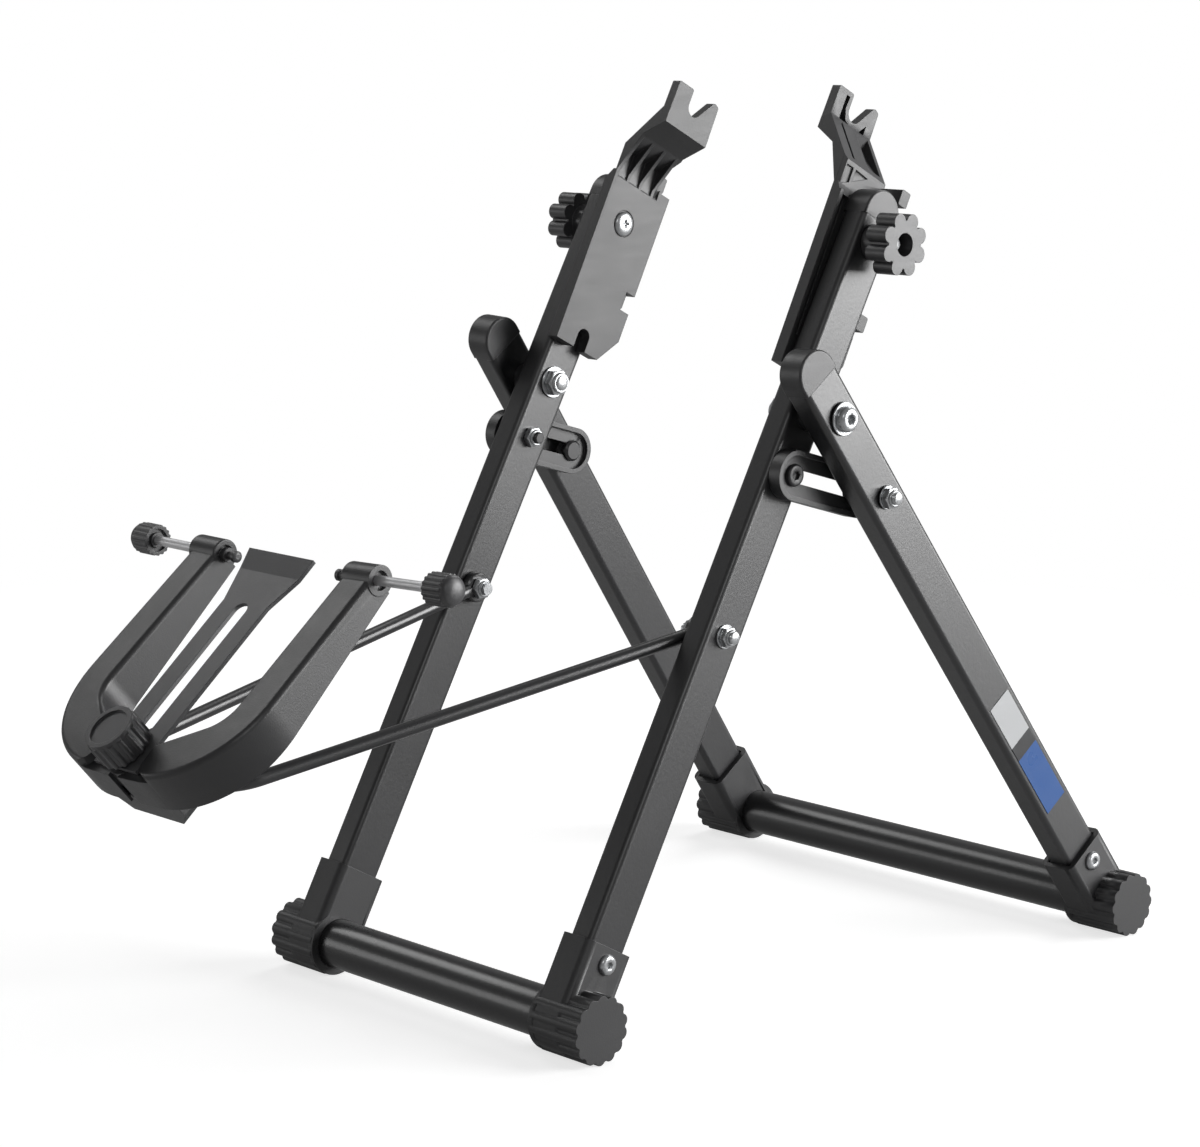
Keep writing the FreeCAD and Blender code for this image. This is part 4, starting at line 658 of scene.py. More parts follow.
def pattern_tree() -> GeometryTree:
    """Return the tree that sets a pattern piece at each point, turned along its axis."""
    tree = GeometryTree("set_along_axes", {"Pattern": "NodeSocketObject"})
    pattern = tree.node("GeometryNodeObjectInfo", inputs={"Object": tree.given("Pattern")})
    axis = tree.node("GeometryNodeInputNamedAttribute", {"data_type": "FLOAT_VECTOR"}, {"Name": "axis"})
    turn = tree.node("FunctionNodeAlignRotationToVector", {"axis": "Z"}, {"Vector": axis})
    placed = tree.node("GeometryNodeInstanceOnPoints", inputs={
        "Points": tree.given("Geometry"), "Rotation": turn,
        "Instance": tree.remember_place(tree.signal(pattern, "Geometry"))})
    return tree.close(placed)


def thread_tree() -> GeometryTree:
    """Return the tree that winds a flat grid into a threaded shaft along Z.

    The grid's X runs from 0 to 1 along the shaft and its Y once round it.
    """
    tree = GeometryTree("wind_thread", dict.fromkeys(
        ("Length", "Radius", "Pitch", "Depth", "Spigot", "Spigot Radius"), "NodeSocketFloat"))
    split = tree.node("ShaderNodeSeparateXYZ", inputs={0: tree.node("GeometryNodeInputPosition")})
    share, turn = (tree.signal(split, axis) for axis in "XY")
    height = share * tree.given("Length")
    wound = height / tree.given("Pitch") + turn
    flank = wound.math("PINGPONG", wound, 0.5)
    threaded = tree.given("Radius") - flank * 2.0 * tree.given("Depth")
    plain = tree.node("GeometryNodeSwitch", {"input_type": "FLOAT"}, {
        0: tree.given("Spigot").above(height), 1: threaded, 2: tree.given("Spigot Radius")})
    from_middle = share.math("ABSOLUTE", share - 0.5)
    between_ends = share.math("LESS_THAN", from_middle, 0.5)
    radius = tree.signal(plain) * between_ends
    angle = turn * tau
    cosine, sine = (angle.math(operation, angle) for operation in ("COSINE", "SINE"))
    wrapped = tree.node("ShaderNodeCombineXYZ", inputs={
        0: radius * cosine, 1: radius * sine, 2: height})
    shaft = tree.node("GeometryNodeSetPosition", inputs={
        "Geometry": tree.given("Geometry"), "Position": wrapped})
    joined = tree.node("GeometryNodeMergeByDistance", inputs={"Geometry": shaft, "Distance": SAME_PLACE})
    return tree.close(tree.remember_place(joined))


def sweep_tree() -> GeometryTree:
    """Return the tree that rounds a path's corners and sweeps a circle along it."""
    tree = GeometryTree("sweep_rod", {
        "Bend": "NodeSocketFloat", "Radius": "NodeSocketFloat", "Eyes": "NodeSocketObject"})
    rounded = tree.node("GeometryNodeFilletCurve", {"mode": "POLY"}, {
        "Curve": tree.given("Geometry"), "Count": 24, "Radius": tree.given("Bend"),
        "Limit Radius": True})
    circle = tree.node("GeometryNodeCurvePrimitiveCircle", {"mode": "RADIUS"}, {
        "Resolution": 36, "Radius": tree.given("Radius")})
    swept = tree.node("GeometryNodeCurveToMesh", inputs={
        "Curve": rounded, "Profile Curve": circle, "Fill Caps": True})
    eyes = tree.node("GeometryNodeObjectInfo", inputs={"Object": tree.given("Eyes")})
    joined = tree.node("GeometryNodeJoinGeometry")
    for piece in (tree.signal(swept), tree.signal(eyes, "Geometry")):
        tree.links.new(piece.socket, joined.inputs[0])
    return tree.close(tree.remember_place(joined))


# ------------------------------ fasteners
@dataclass(frozen=True)
class Spot:
    """Where a fastener sits: the middle of its seat, and the way its head points."""

    place: Vector
    axis: Vector

    @classmethod
    def beside(cls, level: Vector, distance: float, axis: Vector = ACROSS) -> "Spot":
        """Return a spot straight beside a place, at a distance from the stand's middle."""
        return cls(Vector((distance, level.y, level.z)), axis)

    def moved(self, distance: float) -> "Spot":
        """Return the spot a distance further along its axis."""
        return Spot(self.place + self.axis * distance, self.axis)

    def twin(self) -> "Spot":
        """Return the spot's mirror image on the left-hand side."""
        return Spot(mirrored(self.place), mirrored(self.axis))


def mirrored(vector: Vector) -> Vector:
    """Return a vector reflected from one side of the stand to the other."""
    return Vector((-vector.x, vector.y, vector.z))


def joint(name: str) -> Spot:
    """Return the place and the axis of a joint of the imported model."""
    row = next(row for row in frame["joints"] if row["name"] == name)
    return Spot(Vector(row["pos_m"]), Vector(row["axis"]).normalized())


class Fastener:
    """A turned piece of hardware about the Z axis."""

    ring = False
    segments = 48

    def rows(self) -> list[Row]:
        """Return the rows of points."""
        raise NotImplementedError

    def mesh(self, name: str) -> Mesh:
        """Return the mesh."""
        return turned_mesh(name, self.rows(), self.ring, self.segments)


@dataclass(frozen=True)
class LockNut(Fastener):
    """Hexagon nut with chamfered corners and a rolled collar round its insert."""

    flats: float
    height: float
    bore: float
    slope: float = 0.5
    ring = True

    def rows(self) -> list[Row]:
        """Return the rows of the nut, from its seat outward and back through its bore."""
        top = self.height
        body = top * 0.68
        chamfer = top * 0.04
        step = top * 0.05
        rolled = top * 0.12
        face = self.flats / 2
        end = face * 0.95
        collar = face * 0.86
        rim = collar * 0.90
        insert = collar * 0.74
        return [
            Row(0.0, self.bore), Row(0.0, end), Row(chamfer, face, Section.HEXAGON, self.slope),
            Row(body, face, Section.HEXAGON, -self.slope), Row(body + chamfer, end),
            Row(body + step, collar), Row(top - rolled, collar), Row(top, rim), Row(top, insert),
            Row(top - step, collar * 0.72), Row(top - step, self.bore),
        ]


@dataclass(frozen=True)
class FlatWasher(Fastener):
    """Flat washer with eased edges."""

    radius: float
    thick: float
    bore: float
    ring = True
    segments = 64

    def rows(self) -> list[Row]:
        """Return the rows of the washer, from its seat."""
        return disc_rows(0.0, self.thick, self.radius, self.bore, ease=self.thick * 0.2)


@dataclass(frozen=True)
class Bolt(Fastener):
    """Bolt with a domed head, a driving recess and a threaded end.

    Its head stands on the seat, and its shank runs the other way.
    """

    shank: float
    length: float
    head: float
    head_height: float
    crown: float
    recess_radius: float
    thread: float
    recess: Section = Section.HEXAGON
    pitch: float = 0.001
    root_share: float = 0.86
    dome_steps: int = 6

    def rows(self) -> list[Row]:
        """Return the rows of the bolt, from its tip to the bottom of its recess."""
        return self.shank_rows() + self.dome_rows() + self.recess_rows()

    def dome_rows(self) -> list[Row]:
        """Return the rows of the head, from its seat to the edge of its recess."""
        base = self.head_height * 0.24
        rows = [Row(0.0, self.shank), Row(0.0, self.head * 0.97),
                Row(base * 0.25, self.head), Row(base, self.head)]
        for k in range(1, self.dome_steps + 1):
            turn = pi / 2 * k / self.dome_steps
            radius = self.crown + (self.head - self.crown) * cos(turn)
            rows.append(Row(base + (self.head_height - base) * sin(turn), radius))
        return rows

    def recess_rows(self) -> list[Row]:
        """Return the rows of the driving recess."""
        top = self.head_height
        lead_in = top * 0.06
        depth = top * 0.66
        taper = 0.96 if self.recess is Section.HEXAGON else 0.6
        return [
            Row(top, self.recess_radius * 1.22), Row(top - lead_in, self.recess_radius, self.recess),
            Row(top - depth, self.recess_radius * taper, self.recess), Row(top - depth * 1.12, 0.0),
        ]

    def shank_rows(self) -> list[Row]:
        """Return the rows of the shank from its tip, with a groove for each turn of thread."""
        tip = -self.length
        lead_in = 0.35
        turns = max(int(self.thread / self.pitch), 1)
        rows = [Row(tip, 0.0), Row(tip, self.shank * 0.82)]
        for k in range(turns):
            start = tip + self.pitch * (k + lead_in)
            rows += [Row(start, self.shank), Row(start + self.pitch * 0.15, self.shank),
                     Row(start + self.pitch * 0.6, self.shank * self.root_share)]
        rows.append(Row(tip + self.pitch * (turns + lead_in), self.shank))
        return rows


@dataclass(frozen=True)
class Stud(Fastener):
    """Pin without a head, from its start up along its axis to a threaded end."""

    radius: float
    length: float
    thread: float
    pitch: float = 0.001
    root_share: float = 0.86

    def rows(self) -> list[Row]:
        """Return the rows of the stud, with a groove for each turn of thread."""
        root = self.radius * self.root_share
        turns = int(self.thread / self.pitch)
        start = self.length - self.pitch * (turns + 0.35)
        rows = [Row(0.0, 0.0), Row(0.0, self.radius)]
        for k in range(turns):
            place = start + self.pitch * k
            rows += [Row(place, self.radius), Row(place + self.pitch * 0.45, root),
                     Row(place + self.pitch * 0.9, self.radius)]
        return rows + [Row(self.length - self.pitch * 0.3, self.radius),
                       Row(self.length, self.radius * 0.8), Row(self.length, 0.0)]


class Hardware:
    """Sets fasteners on their spots as finished pieces."""

    def __init__(self, palette: Palette) -> None:
        self.palette = palette
        self.tree = pattern_tree()

    def set(self, name: str, fastener: Fastener, spots: Sequence[Spot], *replaced: str,
            body: str = "front_frame", slot: Slot = Slot.STEEL) -> Object:
        """Set one fastener on its spots and on their mirror images.

        Args:
            name: name of the finished piece.
            fastener: the fastener.
            spots: where it sits on the right-hand side.
            replaced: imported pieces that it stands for.
            body: body that the piece moves with.
            slot: material slot of the piece.

        Returns:
            The finished piece.
        """
        sides = [each for spot in spots for each in (spot, spot.twin())]
        points = bpy.data.meshes.new(name + ".points")
        points.from_pydata([tuple(spot.place) for spot in sides], [], [])
        axes = points.attributes.new("axis", "FLOAT_VECTOR", "POINT")
        for index, spot in enumerate(sides):
            axes.data[index].vector = spot.axis
        pattern = linked(name + ".pattern", fastener.mesh(name + ".pattern"))
        piece = self.tree.apply(name, points, {
            "Pattern": pattern, "Finish": self.palette.material(slot)})
        bpy.data.objects.remove(pattern)
        shade(piece.data)
        return settle(piece, body, slot, *replaced)


def settle(piece: Object, body: str, slot: Slot, *replaced: str) -> Object:
    """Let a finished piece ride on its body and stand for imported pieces."""
    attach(piece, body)
    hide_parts(*replaced)
    return piece


# ------------------------------ sub-assemblies
@dataclass(frozen=True)
class StandSizes:
    """Sizes that several sub-assemblies share, as in the part's own source."""

    tube_width: float = 0.015
    upright_centre: float = 0.0925
    leg_gap: float = 0.008
    pivot_back: float = 0.1544
    pivot_rise: float = 0.2772
    feet_apart: float = 0.3534
    rear_splay: float = 0.0177
    foot_radius: float = 0.017
    socket_wall: float = 0.0032
    splay_relief: float = 0.0005
    fit: float = 0.0002

    @property
    def inner_face(self) -> float:
        """Distance of an upright's inner face from the middle."""
        return self.upright_centre - self.tube_width / 2

    @property
    def outer_face(self) -> float:
        """Distance of an upright's outer face from the middle."""
        return self.upright_centre + self.tube_width / 2

    @property
    def rear_centre(self) -> float:
        """Distance of a rear leg from the middle, at the folding pivot."""
        return self.upright_centre + self.tube_width + self.leg_gap

    @property
    def rear_foot(self) -> Vector:
        """Middle of the right rear foot."""
        return Vector((self.rear_centre + self.rear_splay, self.feet_apart, self.foot_radius))

    @property
    def rear_turn(self) -> Matrix:
        """Rotation from an upright leg's axes to those of the right rear leg."""
        run = self.feet_apart - self.pivot_back
        lean = atan2(run, self.pivot_rise)
        tilt = atan2(self.rear_splay, hypot(run, self.pivot_rise))
        return Matrix.Rotation(lean, 3, "X") @ Matrix.Rotation(-tilt, 3, "Y")


def both(*kinds: str) -> tuple[str, ...]:
    """Return the names of the right-hand and the left-hand piece of each kind."""
    return tuple(kind + side for kind in kinds for side in ("_right", "_left"))


class SubAssembly:
    """A group of pieces that belong together on the stand."""

    painted: tuple[str, ...] = ()

    def __init__(self, palette: Palette, hardware: Hardware, sizes: StandSizes) -> None:
        self.palette = palette
        self.fasten = hardware.set
        self.sizes = sizes

    def rebuild(self) -> list[Object]:
        """Build the pieces that are finer than their packed ones."""
        return []

    def build(self) -> list[Object]:
        """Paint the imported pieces, build the finer ones and return them all."""
        return [self.palette.paint(node) for node in self.painted] + self.rebuild()


@dataclass(frozen=True)
class FootScrewSizes:
    """Sizes of the screw that holds a foot to its leg."""

    radius: float = 0.0024
    head: float = 0.0051
    height: float = 0.0024
    length: float = 0.0062
    rise: float = 0.0305

    def bolt(self) -> Bolt:
        """Return the screw."""
        return Bolt(self.radius, self.length, self.head, self.height, crown=self.head * 0.6,
                    recess_radius=self.radius * 0.65, thread=0.005, pitch=0.0008)


class FrontFrame(SubAssembly):
    """Uprights with their caps, feet and cross tube."""

    painted = (*both("upright", "upright_cap", "front_foot"), "front_cross_tube")

    def rebuild(self) -> list[Object]:
        """Build the foot screws."""
        low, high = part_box("front_foot_screws")
        spot = Spot.beside((low + high) / 2, self.sizes.outer_face + self.sizes.socket_wall)
        screw = FootScrewSizes().bolt()
        return [self.fasten("front_foot_screw_pair", screw, [spot], "front_foot_screws")]


class RearFrame(SubAssembly):
    """Rear legs with their caps, feet, cross tube and label."""

    painted = (*both("rear_leg", "rear_leg_cap", "rear_foot"), "rear_cross_tube", "leg_label")

    def rebuild(self) -> list[Object]:
        """Build the foot screws."""
        screw = FootScrewSizes()
        turn = self.sizes.rear_turn
        reach = self.sizes.tube_width / 2 + self.sizes.socket_wall
        place = self.sizes.rear_foot + turn @ Vector((reach, 0.0, screw.rise))
        spot = Spot(place, turn @ ACROSS)
        return [self.fasten("rear_foot_screw_pair", screw.bolt(), [spot], "rear_foot_screws",
                            body="rear_frame")]


@dataclass(frozen=True)
class PivotSizes:
    """Sizes of the folding pivot's fasteners."""

    radius: float = 0.004
    washer: float = 0.0084
    washer_thick: float = 0.0012
    nut_flats: float = 0.0128
    nut_height: float = 0.006
    head: float = 0.00648
    head_height: float = 0.0042
    tail: float = 0.0068


class FoldingPivot(SubAssembly):
    """Bolts, nuts, washers and spacers on which the rear frame folds."""

    painted = ("pivot_spacers",)

    def rebuild(self) -> list[Object]:
        """Build the bolts, nuts and washers."""
        own = PivotSizes()
        pivot = joint("fold").place
        near = self.sizes.inner_face
        far = self.sizes.rear_centre + self.sizes.tube_width / 2 + self.sizes.splay_relief
        inner = Spot.beside(pivot, near, -ACROSS)
        outer = Spot.beside(pivot, far)
        length = far + own.washer_thick - (near - own.washer_thick - own.tail)
        bolt = Bolt(own.radius, length, own.head, own.head_height, crown=own.radius * 1.05,
                    recess_radius=own.radius * 0.6, thread=0.010, pitch=0.00125)
        nut = LockNut(own.nut_flats, own.nut_height, own.radius)
        washer = FlatWasher(own.washer, own.washer_thick, own.radius)
        return [
            self.fasten("pivot_bolt_pair", bolt, [outer.moved(washer.thick)], "pivot_bolts"),
            self.fasten("pivot_nut_pair", nut, [inner.moved(washer.thick)], "pivot_nuts"),
            self.fasten("pivot_washer_set", washer, [inner, outer], "pivot_washers"),
        ]


@dataclass(frozen=True)
class SmallBoltSizes:
    """Sizes of the 6 mm fasteners of the links and the swing arm."""

    radius: float = 0.003
    flats: float = 0.010
    height: float = 0.005
    washer_radius: float = 0.006
    washer_thick: float = 0.001
    tail: float = 0.002
    link_clear: float = 0.0004
    link_thick: float = 0.0072
    link_recess: float = 0.0024
    eye_thick: float = 0.005

    def nut(self) -> LockNut:
        """Return the nut."""
        return LockNut(self.flats, self.height, self.radius)

    def washer(self) -> FlatWasher:
        """Return the washer."""
        return FlatWasher(self.washer_radius, self.washer_thick, self.radius)


class SlottedLinks(SubAssembly):
    """Slotted links that hold the frames open, with their bolts."""

    painted = both("link", "link_stud")

    def rebuild(self) -> list[Object]:
        """Build the bolts and nuts at both ends of the links."""
        own = SmallBoltSizes()
        near = joint("link_right_turn").place
        face = self.sizes.outer_face + own.link_clear + own.link_thick - own.link_recess
        tail = self.sizes.inner_face - own.height - own.tail
        bolt = Bolt(own.radius, face - tail, own.radius * 1.9, own.link_recess, crown=own.radius * 1.5,
                    recess_radius=own.radius * 0.66, thread=0.008)
        outer = Spot.beside(near, face)
        inner = Spot.beside(near, self.sizes.inner_face, -ACROSS)
        return [
            self.fasten("link_bolt_pair", bolt, [outer], "link_bolts", slot=Slot.DARK_STEEL),
            self.fasten("link_nut_pair", own.nut(), [inner], "link_nuts"),
            *self.rear_fasteners(own),
        ]

    def rear_fasteners(self, own: SmallBoltSizes) -> list[Object]:
        """Build the stud, washer and nut in each rear leg."""
        low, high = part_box("link_stud_right")
        relief = self.sizes.splay_relief
        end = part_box("rear_link_bolts")[1].x
        start = end - own.tail - relief - own.height - own.washer_thick
        seat = Spot.beside((low + high) / 2, start + relief)
        length = self.sizes.tube_width + relief
        stud = Stud(own.radius, length + end - seat.place.x, thread=0.009)
        body = "rear_frame"
        return [
            self.fasten("rear_link_studs", stud, [seat.moved(-length)], "rear_link_bolts", body=body),
            self.fasten("rear_link_washers", own.washer(), [seat], body=body),
            self.fasten("rear_link_nuts", own.nut(), [seat.moved(own.washer_thick)], body=body),
        ]


@dataclass(frozen=True)
class BracketBoltSizes:
    """Sizes of the domed bolt through a bracket."""

    radius: float = 0.003
    head: float = 0.0066
    height: float = 0.0026
    recess: float = 0.0022
    seat: float = 0.0788
    tail: float = 0.116


class AxleBrackets(SubAssembly):
    """Slotted axle brackets, their bolts and the star knobs that clamp them."""

    painted = both("dropout_bracket", "star_knob")

    def rebuild(self) -> list[Object]:
        """Build the bracket bolts."""
        own = BracketBoltSizes()
        spot = Spot.beside(joint("star_right_turn").place, own.seat, -ACROSS)
        bolt = Bolt(own.radius, own.tail - own.seat, own.head, own.height, crown=own.head * 0.42,
                    recess_radius=own.recess, thread=0.020, recess=Section.CROSS)
        return [self.fasten("bracket_bolt_pair", bolt, [spot], "bracket_bolts")]


@dataclass(frozen=True)
class RodSizes:
    """Sizes of the bent rod."""

    radius: float = 0.0035
    half_width: float = 0.045
    reach: float = 0.2632
    bend: float = 0.020
    tilt: float = radians(9.1)
    eye_radius: float = 0.008
    eye_middle: float = 0.0823
    eye_thick: float = 0.005
    eye_bore: float = 0.00305
    eye_segments: int = 72
    start_share: float = 0.85


class SwingArm(SubAssembly):
    """Bent rod that carries the caliper, its fasteners and the base block."""

    painted = ("clamp_block", "clamp_bolt")

    def rebuild(self) -> list[Object]:
        """Build the rod and its fasteners."""
        return [self.rod(RodSizes()), *self.fasteners(SmallBoltSizes())]

    def rod(self, own: RodSizes) -> Object:
        """Sweep the rod along its path and close it with its two eyes."""
        pivot = joint("swing").place
        forward = -Vector((0.0, cos(own.tilt), sin(own.tilt)))
        lean = atan2(own.eye_middle - own.half_width, own.reach)
        start = forward * own.eye_radius * own.start_share * cos(lean)
        start.x = own.eye_middle - own.eye_radius * own.start_share * sin(lean)
        front = forward * own.reach
        front.x = own.half_width
        path = bpy.data.curves.new("rod_path", "CURVE")
        path.dimensions = "3D"
        line = path.splines.new("POLY")
        line.points.add(3)
        for point, place in zip(line.points, (start, front, mirrored(front), mirrored(start))):
            point.co = (place.x, place.y + pivot.y, place.z + pivot.z, 1.0)
        eyes = self.eyes(own, pivot)
        piece = sweep_tree().apply("swing_rod_swept", path, {
            "Bend": own.bend, "Radius": own.radius, "Eyes": eyes,
            "Finish": self.palette.material(Slot.ROD)})
        bpy.data.objects.remove(eyes)
        shade(piece.data)
        return settle(piece, "swing_arm", Slot.ROD, "swing_rod")

    def eyes(self, own: RodSizes, pivot: Vector) -> Object:
        """Return both flattened eyes as one object."""
        half = own.eye_thick / 2
        rows = disc_rows(-half, half, own.eye_radius, own.eye_bore, ease=own.eye_thick * 0.16)
        upright = Matrix.Rotation(pi / 2, 4, "Y")
        work = bmesh.new()
        for middle in (own.eye_middle, -own.eye_middle):
            eye = turned_mesh("eye", rows, ring=True, segments=own.eye_segments)
            eye.transform(Matrix.Translation((middle, pivot.y, pivot.z)) @ upright)
            work.from_mesh(eye)
        return linked("eyes", finished_mesh(work, "eyes"))

    def fasteners(self, own: SmallBoltSizes) -> list[Object]:
        """Build the bolts, washers and nuts of the swing arm."""
        pivot = joint("swing").place
        inner_seat = self.sizes.inner_face - self.sizes.fit * 2 - own.eye_thick
        inner = Spot.beside(pivot, inner_seat, -ACROSS)
        outer = Spot.beside(pivot, self.sizes.outer_face)
        tail = inner_seat - own.height - own.tail + self.sizes.fit
        end = self.sizes.outer_face + own.washer_thick + own.radius * 2.2
        stud = Stud(own.radius, end - tail, thread=0.007)
        outer_nut = LockNut(own.flats * 0.92, own.radius * 1.6, own.radius)
        return [
            self.fasten("swing_bolt_pair", stud, [Spot.beside(pivot, tail)], "swing_bolts"),
            self.fasten("swing_nut_inner", own.nut(), [inner], "swing_nuts"),
            self.fasten("swing_washer_pair", own.washer(), [outer]),
            self.fasten("swing_nut_outer", outer_nut, [outer.moved(own.washer_thick)]),
        ]


class Caliper(SubAssembly):
    """Jaws, centre gauge and the knob that clamps them."""

    painted = (*both("jaw"), "centre_gauge", "clamp_knob")


@dataclass(frozen=True)
class FeelerSizes:
    """Sizes of a feeler screw."""

    start: float = 0.04455
    end: float = 0.1132
    radius: float = 0.0024
    pitch: float = 0.0008
    depth: float = 0.00007
    spigot: float = 0.00505
    spigot_radius: float = 0.00168
    rows_per_turn: int = 7
    round_segments: int = 28


class Feelers(SubAssembly):
    """Feeler screws with their nibs and knobs."""

    painted = both("feeler_nib", "feeler_knob")

    def rebuild(self) -> list[Object]:
        """Build both screws."""
        tree = thread_tree()
        return [self.screw(tree, side, FeelerSizes()) for side in ("right", "left")]

    def screw(self, tree: GeometryTree, side: str, own: FeelerSizes) -> Object:
        """Wind one feeler screw and lay it on its joint's axis."""
        length = own.end - own.start
        rows = int(length / own.pitch * own.rows_per_turn)
        work = bmesh.new()
        bmesh.ops.create_grid(work, x_segments=rows, y_segments=own.round_segments, size=0.5,
                              matrix=Matrix.Translation((0.5, 0.5, 0.0)))
        piece = tree.apply("feeler_thread_" + side, finished_mesh(work, "thread_sheet"), {
            "Length": length, "Radius": own.radius, "Pitch": own.pitch, "Depth": own.depth,
            "Spigot": own.spigot, "Spigot Radius": own.spigot_radius,
            "Finish": self.palette.material(Slot.FEELER)})
        turning = joint(f"screw_{side}_turn")
        outward = -turning.axis
        turn = outward.to_track_quat("Z", "Y").to_matrix().to_4x4()
        piece.data.transform(Matrix.Translation(turning.place + outward * own.start) @ turn)
        shade(piece.data, SHARP_THREAD_EDGE)
        return settle(piece, f"screw_{side}_body", Slot.FEELER, "feeler_screw_" + side)


# ------------------------------ studio
def grey(level: float) -> tuple[float, float, float, float]:
    """Return an opaque grey."""
    return (level, level, level, 1.0)


def aimed(name: str, data: ID, place: Triple, target: Triple) -> Object:
    """Return a new camera or light that looks from a place at a target."""
    item = linked(name, data)
    item.location = place
    item.rotation_euler = (Vector(target) - Vector(place)).to_track_quat("-Z", "Y").to_euler()
    return item


@dataclass(frozen=True)
class SoftBox:
    """Square studio light that faces a target."""

    name: str
    place: Triple
    size: float
    radiance: float
    target: Triple = (0.0, 0.1, 0.15)

    def build(self) -> None:
        """Add the light to the scene."""
        lamp = bpy.data.lights.new(self.name, "AREA")
        lamp.shape = "SQUARE"
        lamp.size = self.size
        lamp.energy = self.radiance * pi * self.size ** 2
        aimed(self.name, lamp, self.place, self.target)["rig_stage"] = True


@dataclass(frozen=True)
class Studio:
    """Camera, lights, white surroundings and floor."""

    camera_place: Triple = (1.1681, -0.9993, 0.4972)
    camera_target: Triple = (0.0, 0.1084, 0.2074)
    lens: float = 96.5
    sensor: float = 36.0
    floor_half: float = 5.0
    floor_deep: Colour = (0.62, 0.62, 0.62)
    floor_pale: Colour = (0.66, 0.66, 0.66)
    floor_glow: float = 0.72
    floor_bounce: float = 0.45
    lit_radius: float = 0.75
    fade: float = 0.5
    surround_grey: float = 0.9
    surround: float = 0.05
    mirrored_white: float = 0.2
    boxes: tuple[SoftBox, ...] = (
        SoftBox("key_box", (2.2, 2.2, 0.75), size=2.0, radiance=10.0, target=(0.0, 0.15, 0.30)),
        SoftBox("left_box", (-1.9, 0.0, 1.95), size=1.0, radiance=2.6),
        SoftBox("back_box", (-0.5, 1.9, 2.0), size=1.2, radiance=3.0),
        SoftBox("low_box", (-1.7, -1.6, 0.45), size=0.8, radiance=2.0),
        SoftBox("edge_box", (1.9, -1.5, 1.6), size=0.45, radiance=9.0),
    )

    def build(self) -> None:
        """Set up the whole studio."""
        self.camera()
        for box in self.boxes:
            box.build()
        self.surroundings()
        self.floor()

    def camera(self) -> None:
        """Add the camera."""
        data = bpy.data.cameras.new("camera")
        data.lens = self.lens
        data.sensor_width = self.sensor
        scene = bpy.context.scene
        scene.camera = aimed("camera", data, self.camera_place, self.camera_target)
        scene.view_settings.view_transform = "Standard"

    def surroundings(self) -> None:
        """Show white straight ahead, a part of it in reflections and a dim grey otherwise."""
        world = bpy.data.worlds.new("surroundings")
        bpy.context.scene.world = world
        tree = ShaderTree(world)
        dim, white = (
            tree.node("ShaderNodeBackground", inputs={"Color": grey(level), "Strength": strength})
            for level, strength in ((self.surround_grey, self.surround), (1.0, 1.0)))
        mix = tree.node("ShaderNodeMixShader", inputs={0: self.white_share(tree), 1: dim, 2: white})
        tree.node("ShaderNodeOutputWorld", inputs={"Surface": mix})

    def white_share(self, tree: ShaderTree) -> Signal:
        """Return how much of the white background a ray meets: all of it seen directly or
        through glass, and a part of it in a reflection."""
        path = tree.node("ShaderNodeLightPath")
        direct = tree.signal(path, "Is Camera Ray") + tree.signal(path, "Is Transmission Ray")
        return (direct + tree.signal(path, "Is Glossy Ray") * self.mirrored_white).within()

    def floor(self) -> None:
        """Add the pale floor, which the camera sees as white except in shadow."""
        tree = ShaderTree(bpy.data.materials.new("floor"))
        pale = tree.blend(self.floor_deep, self.floor_pale, tree.noise(scale=3.0, detail=2.0))
        matt = tree.node("ShaderNodeBsdfDiffuse", inputs={"Color": pale})
        glow = tree.node("ShaderNodeEmission", inputs={"Color": grey(1.0), "Strength": self.floor_glow})
        lit = tree.node("ShaderNodeAddShader", inputs={0: matt, 1: glow})
        far = tree.vector_math("LENGTH", tree.place)
        share = ((far - self.lit_radius) / self.fade).within()
        white = tree.node("ShaderNodeEmission")
        shown = tree.node("ShaderNodeMixShader", inputs={0: share, 1: lit, 2: white})
        dim = tree.node("ShaderNodeBsdfDiffuse", inputs={"Color": grey(self.floor_bounce)})
        seen = tree.node("ShaderNodeMixShader", inputs={0: self.white_share(tree), 1: dim, 2: shown})
        mesh = bpy.data.meshes.new("floor")
        reach = self.floor_half
        corners = [(-reach, -reach, 0.0), (reach, -reach, 0.0), (reach, reach, 0.0), (-reach, reach, 0.0)]
        mesh.from_pydata(corners, [], [(0, 1, 2, 3)])
        mesh.materials.append(tree.close(seen))
        linked("floor", mesh)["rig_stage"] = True


# ------------------------------ assembly
SUB_ASSEMBLIES: tuple[type[SubAssembly], ...] = (
    FrontFrame, RearFrame, FoldingPivot, SlottedLinks, AxleBrackets, SwingArm, Caliper, Feelers)


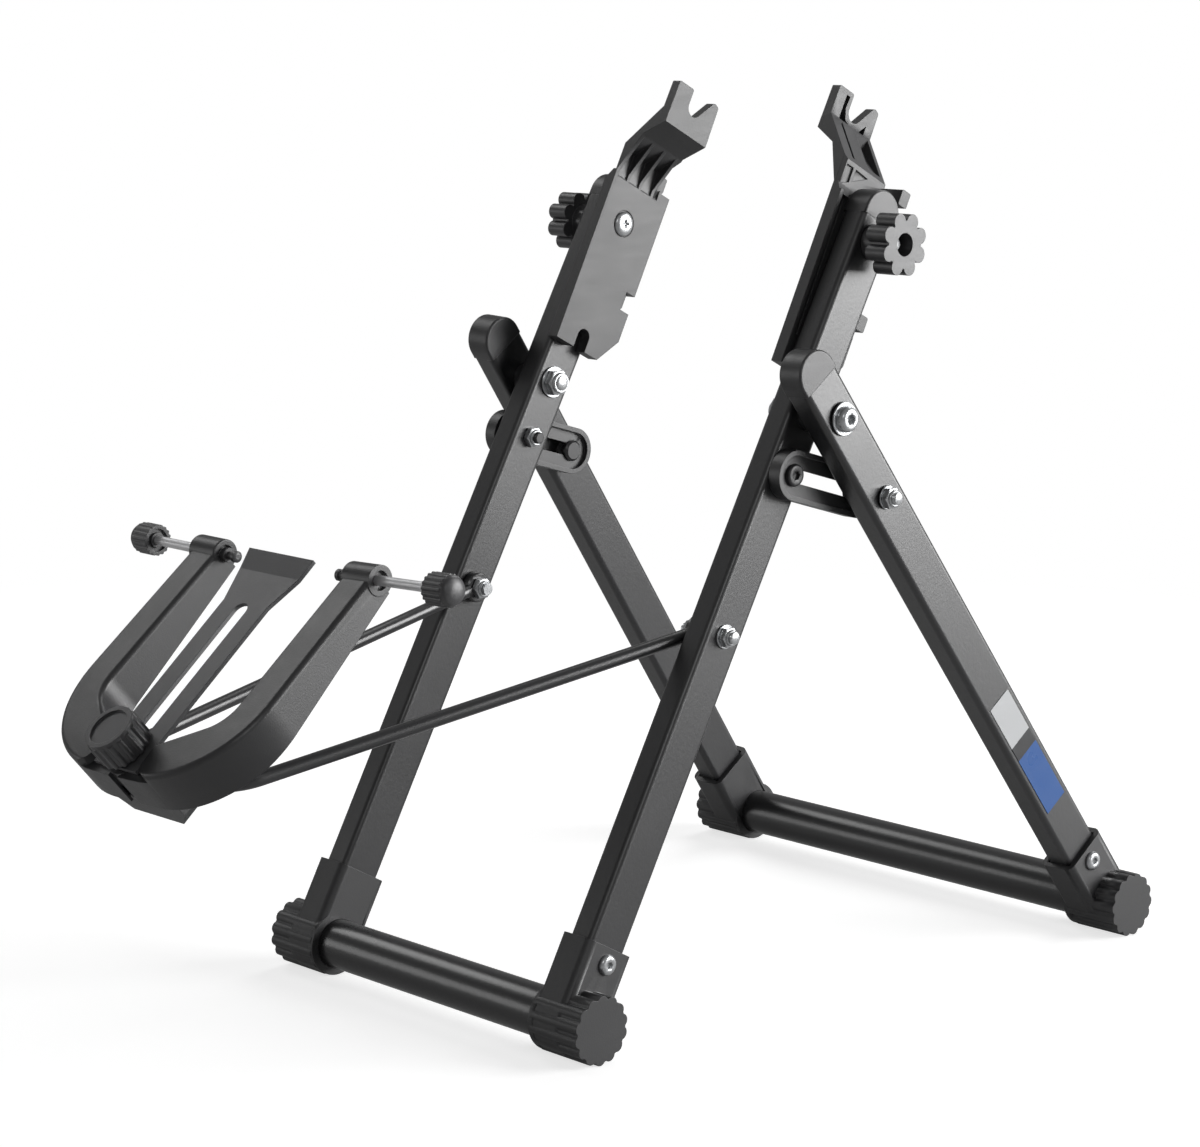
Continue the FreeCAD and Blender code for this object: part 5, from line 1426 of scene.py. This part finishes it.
def finishes(sizes: StandSizes) -> dict[Slot, Finish]:
    """Return the finish of every material slot."""
    return {
        Slot.FRAME: Paint("satin_paint", roughness=0.38),
        Slot.CROSS: Paint("cross_tube_paint", deep=(0.007, 0.007, 0.008), pale=(0.012, 0.012, 0.013),
                          roughness=0.30),
        Slot.ROD: Paint("rod_paint", roughness=0.30, peel=900.0),
        Slot.CAP: Moulding("cap_plastic", roughness=0.44),
        Slot.FOOT: Moulding("foot_plastic", deep=(0.013, 0.013, 0.014), pale=(0.022, 0.022, 0.024),
                            roughness=0.50, grain=1100.0),
        Slot.BRACKET: Moulding("bracket_plastic", deep=(0.024, 0.024, 0.025), pale=(0.040, 0.040, 0.042),
                               roughness=0.48),
        Slot.JAW: Moulding("jaw_plastic", deep=(0.012, 0.012, 0.013), pale=(0.020, 0.020, 0.022),
                           roughness=0.42, grain=1300.0),
        Slot.GAUGE: Moulding("gauge_plastic", deep=(0.085, 0.085, 0.088), pale=(0.115, 0.115, 0.119),
                             roughness=0.45),
        Slot.KNOB: Moulding("knob_plastic", deep=(0.040, 0.040, 0.042), pale=(0.060, 0.060, 0.063),
                            roughness=0.42),
        Slot.STEEL: Steel("zinc_steel"),
        Slot.FEELER: Steel("feeler_steel", bright=(0.92, 0.92, 0.93), dull=(0.80, 0.80, 0.81),
                           roughness=0.40, metallic=0.45),
        Slot.DARK_STEEL: Steel("dark_steel", bright=(0.035, 0.035, 0.037), dull=(0.018, 0.018, 0.019),
                               roughness=0.34, metallic=0.0),
        Slot.LABEL: PrintedFilm("label_film", sizes.rear_foot, sizes.rear_turn @ Vector((0.0, 0.0, 1.0))),
    }


def corners_as_lists(bounds: Callable[[], tuple[Vector, Vector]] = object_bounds) -> list[list[float]]:
    """Return the lowest and the highest corner of the shown object."""
    return [[float(value) for value in corner] for corner in bounds()]


def main() -> None:
    """Build every sub-assembly and the studio."""
    logging.basicConfig(level=logging.INFO, format="%(message)s")
    before = corners_as_lists()
    sizes = StandSizes()
    palette = Palette(finishes(sizes))
    hardware = Hardware(palette)
    for kind in SUB_ASSEMBLIES:
        for piece in kind(palette, hardware, sizes).build():
            LOG.info("%s: %s, %d faces", kind.__name__, piece.name, len(piece.data.polygons))
    Studio().build()
    after = corners_as_lists()


if __name__ == "__main__":
    main()
